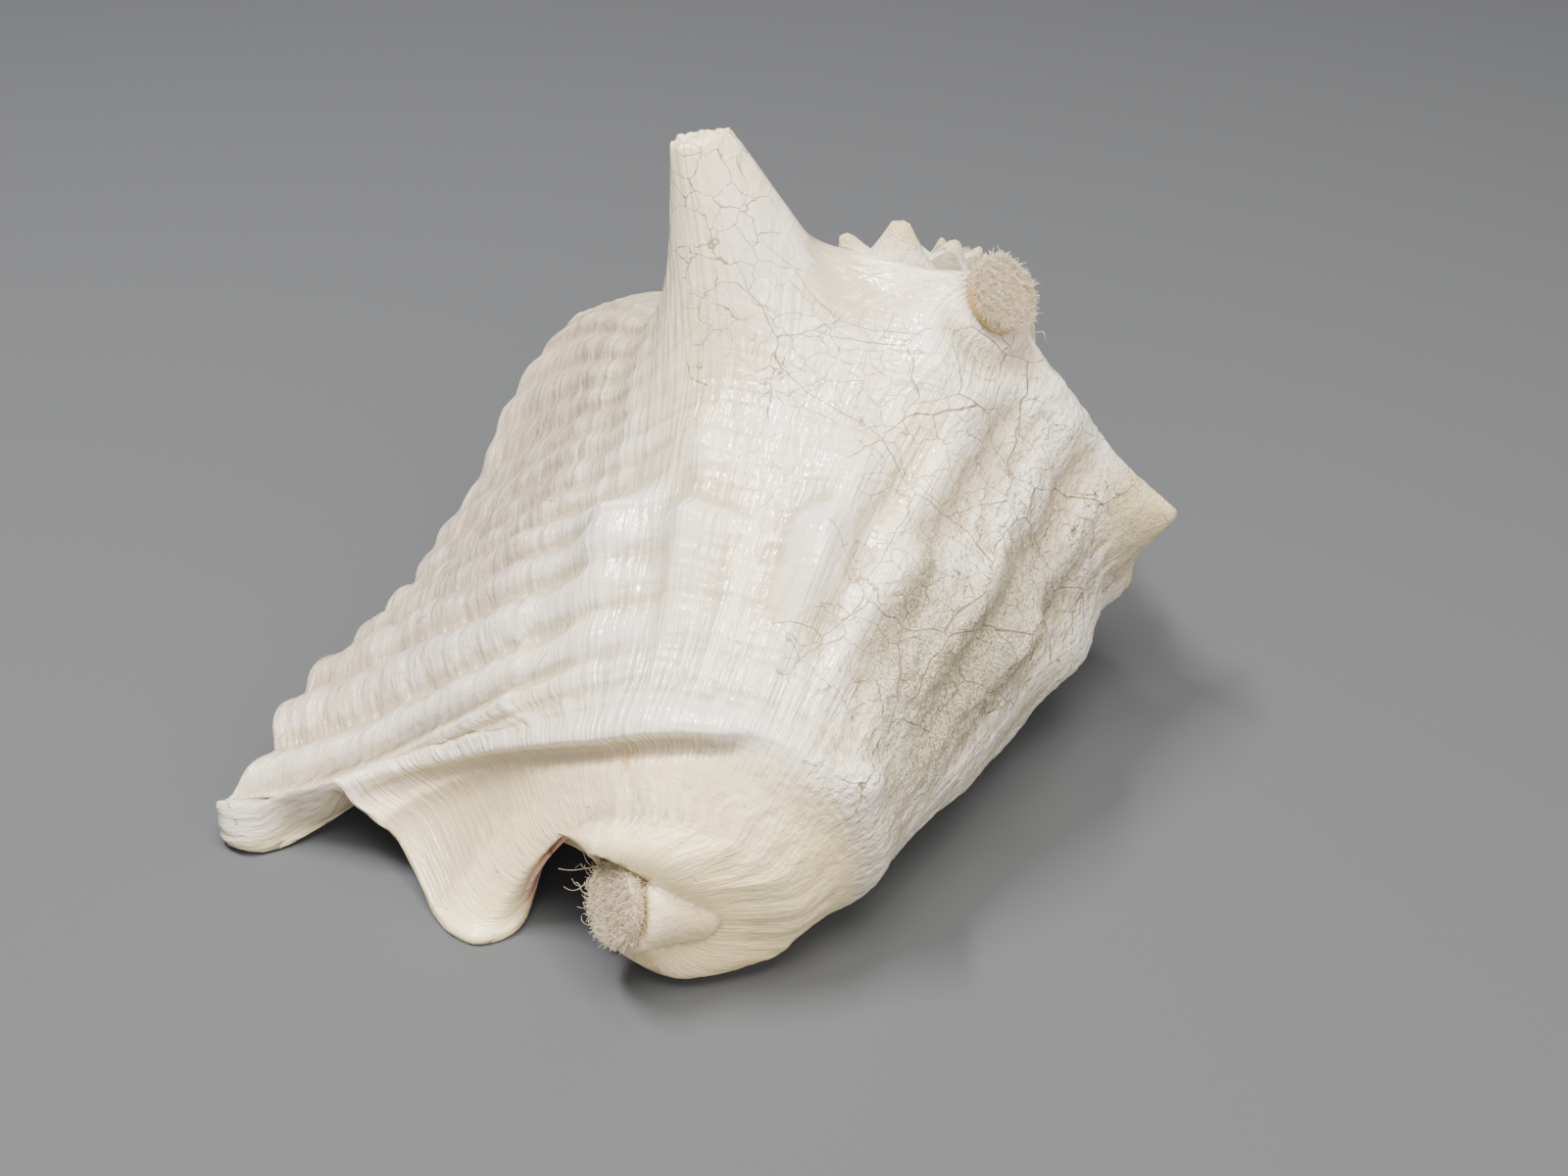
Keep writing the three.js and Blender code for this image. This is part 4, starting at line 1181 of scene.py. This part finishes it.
def fibre_roots(count, chance, side_share, glue_line):
    """Where the fibres start on the pad's top and side, and which way is out there."""
    side = chance.random(count) < side_share
    angle = chance.random(count) * 2 * np.pi
    radius = np.where(side, BODY_RADIUS - 0.25, (BODY_RADIUS - 0.3) * np.sqrt(chance.random(count)))
    top = 2 * BODY_HALF - 0.15
    height = np.where(side, glue_line + (top - glue_line - 0.3) * chance.random(count), top)
    round_way = np.stack([np.cos(angle), np.sin(angle), np.zeros(count)], -1)
    roots = round_way * radius[:, None] + np.array([0, 0, 1]) * height[:, None]
    edge = ease(0.82, 1.0, radius / BODY_RADIUS)[:, None]
    out = np.where(side[:, None], round_way, unit(np.array([0, 0, 1.0]) + round_way * edge * 0.8))
    return roots, out


def fibres_from(shape, roots, way, bend, turns, curl, length, chance):
    """Corners of fibres that start at the roots and go that way, each bent and curled."""
    across = unit(np.cross(way, unit(chance.normal(size=way.shape))))
    second = np.cross(way, across)
    s = shape[:, 2][None, :, None]
    angle = s * turns[:, None, None]
    wave = across[:, None] * np.sin(angle) + second[:, None] * (1 - np.cos(angle))
    path = way[:, None] * s + bend[:, None] * s * s + wave * curl
    ring = across[:, None] * shape[None, :, :1] + second[:, None] * shape[None, :, 1:2]
    corners = roots[:, None] + path * length[:, None, None] + ring * FIBRE_RADIUS
    corners[..., 2] = np.maximum(corners[..., 2], 0.08)
    return corners


def felt_pad(name, seed):
    chance = np.random.default_rng(seed)
    shape, faces = fibre_template(FIBRE_CUTS)
    loose_shape, loose_faces = fibre_template(LOOSE_CUTS)
    glue_line = GLUE_LINE[name]
    roots, out = fibre_roots(FIBRES, chance, SIDE_SHARE[name], glue_line)
    length = chance.uniform(0.7, 1.5, FIBRES)
    tuft = np.stack([grain(roots, 1.1, 31 + axis) for axis in range(3)], -1)
    way = out * chance.uniform(0.3, 0.9, (FIBRES, 1)) + 0.55 * unit(chance.normal(size=(FIBRES, 3)))
    way = unit(way + 1.6 * tuft)
    inward = np.minimum((way * out).sum(1, keepdims=True), 0)
    way -= 1.6 * out * inward
    bend = chance.normal(size=(FIBRES, 3)) * 0.35
    hairs = fibres_from(shape, roots, way, bend, chance.uniform(3, 7, FIBRES), 0.12, length, chance)
    loose = LOOSE_FIBRES[name]
    towards = LOOSE_TOWARDS[name] + chance.normal(size=loose) * 0.5
    round_way = np.stack([np.cos(towards), np.sin(towards), np.zeros(loose)], -1)
    loose_height = chance.uniform(1.2, 3.4, (loose, 1))
    loose_roots = round_way * (BODY_RADIUS - 0.3) + np.array([0, 0, 1]) * loose_height
    loose_way = unit(round_way + chance.normal(size=(loose, 3)) * 0.35)
    loose_hairs = fibres_from(loose_shape, loose_roots, loose_way, chance.normal(size=(loose, 3)) * 0.5,
                              chance.uniform(5, 11, loose), 0.16, chance.uniform(2.5, 5.5, loose), chance)
    body, body_faces = pad_body()
    corners = np.concatenate([body, hairs.reshape(-1, 3), loose_hairs.reshape(-1, 3)])
    hair_faces = faces[None] + (np.arange(FIBRES) * len(shape))[:, None, None] + len(body)
    first_loose = len(body) + FIBRES * len(shape)
    loose_faces = loose_faces[None] + (np.arange(loose) * len(loose_shape))[:, None, None] + first_loose
    all_faces = np.concatenate([body_faces, hair_faces.reshape(-1, 3), loose_faces.reshape(-1, 3)])
    mesh = bpy.data.meshes.new(name + "_felt")
    mesh.from_pydata(corners.tolist(), [], all_faces.tolist())
    tuft_tone = np.clip(0.5 * chance.random(FIBRES) + 0.3 + 0.55 * tuft[:, 0], 0, 1)
    tone = np.concatenate([0.1 + 0.2 * grain(body, 0.7, 23), np.repeat(tuft_tone, len(shape)),
                           np.full(loose * len(loose_shape), 0.8)])
    soaked = 1 - ease(glue_line - 0.4, glue_line + 0.5, body[:, 2] + 0.6 * grain(body, 3, 24))
    glue = np.concatenate([soaked, np.zeros(len(corners) - len(body))])
    note_on(mesh, "tone", tone)
    note_on(mesh, "glue", glue)
    mesh.transform(pad_turn(name, PAD_THICK))
    mesh.shade_smooth()
    pad = bpy.data.objects.new(name + "_felt", mesh)
    bpy.context.scene.collection.objects.link(pad)
    return pad


# Grey beige wool, each fibre a little lighter or darker, and yellow where the glue has soaked in.
WOOL_DARK = (0.54, 0.42, 0.25, 1)
WOOL_LIGHT = (0.95, 0.86, 0.64, 1)
WOOL_GLUE = (0.40, 0.25, 0.06, 1)
wool = Finish("wool_felt")
wool_place = wool.node("ShaderNodeTexCoord").outputs["Object"]
wool_colour = wool.tint(WOOL_DARK, WOOL_LIGHT, wool.between(wool.read("tone"), 0, 1, 0.1, 0.95))
shaded = wool.between(wool.clouds(wool_place, 240, 3), 0.45, 0.7, 0, 0.35)
wool_colour = wool.tint(wool_colour, WOOL_DARK, shaded)
wool_colour = wool.tint(wool_colour, WOOL_GLUE, wool.times(wool.read("glue"), 0.95))
wool.drive("Base Color", wool_colour)
wool.drive("Roughness", wool.between(wool.read("glue"), 0, 1, 0.92, 0.4))
wool.shader.inputs["Sheen Weight"].default_value = 0.35
wool.shader.inputs["Sheen Roughness"].default_value = 0.5
matted = wool.clouds(wool_place, 2600, 4, 0.7)
wool.drive("Normal", wool.raise_up(matted, 0.0003, 0.7))
PAD_SEEDS = {"spine_felt_pad": 5, "canal_felt_pad": 9}
for pad_name, seed in PAD_SEEDS.items():
    pad = felt_pad(pad_name, seed)
    pad.data.materials.append(wool.material)
    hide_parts(pad_name)
    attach(pad, "root")

# The floor, the lights and the camera
# A plain mid-grey floor under soft studio light, seen from the photograph's viewing angle. The floor
# is darker than a pale one would be, so that the white shell stands out from it.
FLOOR_SIDE = 6
FLOOR_GREY = (0.082, 0.087, 0.097, 1)
FLOOR_ROUGH = 0.85
WORLD_TINT = (0.8, 0.84, 0.9, 1)
WORLD_POWER = 0.22
bm = bmesh.new()
bmesh.ops.create_grid(bm, x_segments=1, y_segments=1, size=FLOOR_SIDE / 2)
floor = mesh_from(bm, "floor")
plain_grey = Finish("plain_grey_floor")
plain_grey.shader.inputs["Base Color"].default_value = FLOOR_GREY
plain_grey.shader.inputs["Roughness"].default_value = FLOOR_ROUGH
floor.data.materials.append(plain_grey.material)

CAMERA_AT = (0.1587, -0.4236, 0.3239)
CAMERA_RIGHT = Vector((0.943, 0.334, 0))
CAMERA_UP = Vector((-0.1811, 0.5114, 0.8405))
CAMERA_FORWARD = Vector((-0.2806, 0.7919, -0.5423))
LENS = 51.75
camera_data = bpy.data.cameras.new("camera")
camera_data.lens = LENS
camera_data.clip_start = 0.01
camera = bpy.data.objects.new("camera", camera_data)
turned = Matrix((CAMERA_RIGHT, CAMERA_UP, -CAMERA_FORWARD)).transposed().to_4x4()
camera.matrix_world = Matrix.Translation(CAMERA_AT) @ turned
bpy.context.scene.collection.objects.link(camera)
bpy.context.scene.camera = camera

# Soft boxes: name, place, size, power and colour.
SOFT_BOXES = [
    ("ceiling", (0.28, -0.36, 1.22), (0.8, 0.6), 22, (1, 0.95, 0.85)),
    ("strip", (-0.42, -0.16, 1.15), (0.5, 0.08), 24, (1, 0.97, 0.92)),
    ("overhead", (0.05, 0.12, 1.15), (0.24, 0.18), 3.5, (1, 0.96, 0.88)),
    ("right_fill", (1.05, -0.6, 0.6), (1.0, 0.8), 10.5, (1, 0.93, 0.82)),
    ("front", (0.35, -1.2, 0.5), (0.8, 0.6), 4.5, (1, 0.94, 0.86)),
]
for name, place, sides, power, colour in SOFT_BOXES:
    light_data = bpy.data.lights.new(name, "AREA")
    light_data.shape = "RECTANGLE"
    light_data.size, light_data.size_y = sides
    light_data.energy = power
    light_data.color = colour
    light = bpy.data.objects.new(name, light_data)
    light.location = place
    aim = Vector((0, 0, 0.05)) - Vector(place)
    light.rotation_euler = aim.to_track_quat("-Z", "Y").to_euler()
    bpy.context.scene.collection.objects.link(light)
world = bpy.data.worlds.new("studio")
world.use_nodes = True
world.node_tree.nodes["Background"].inputs["Color"].default_value = WORLD_TINT
world.node_tree.nodes["Background"].inputs["Strength"].default_value = WORLD_POWER
bpy.context.scene.world = world
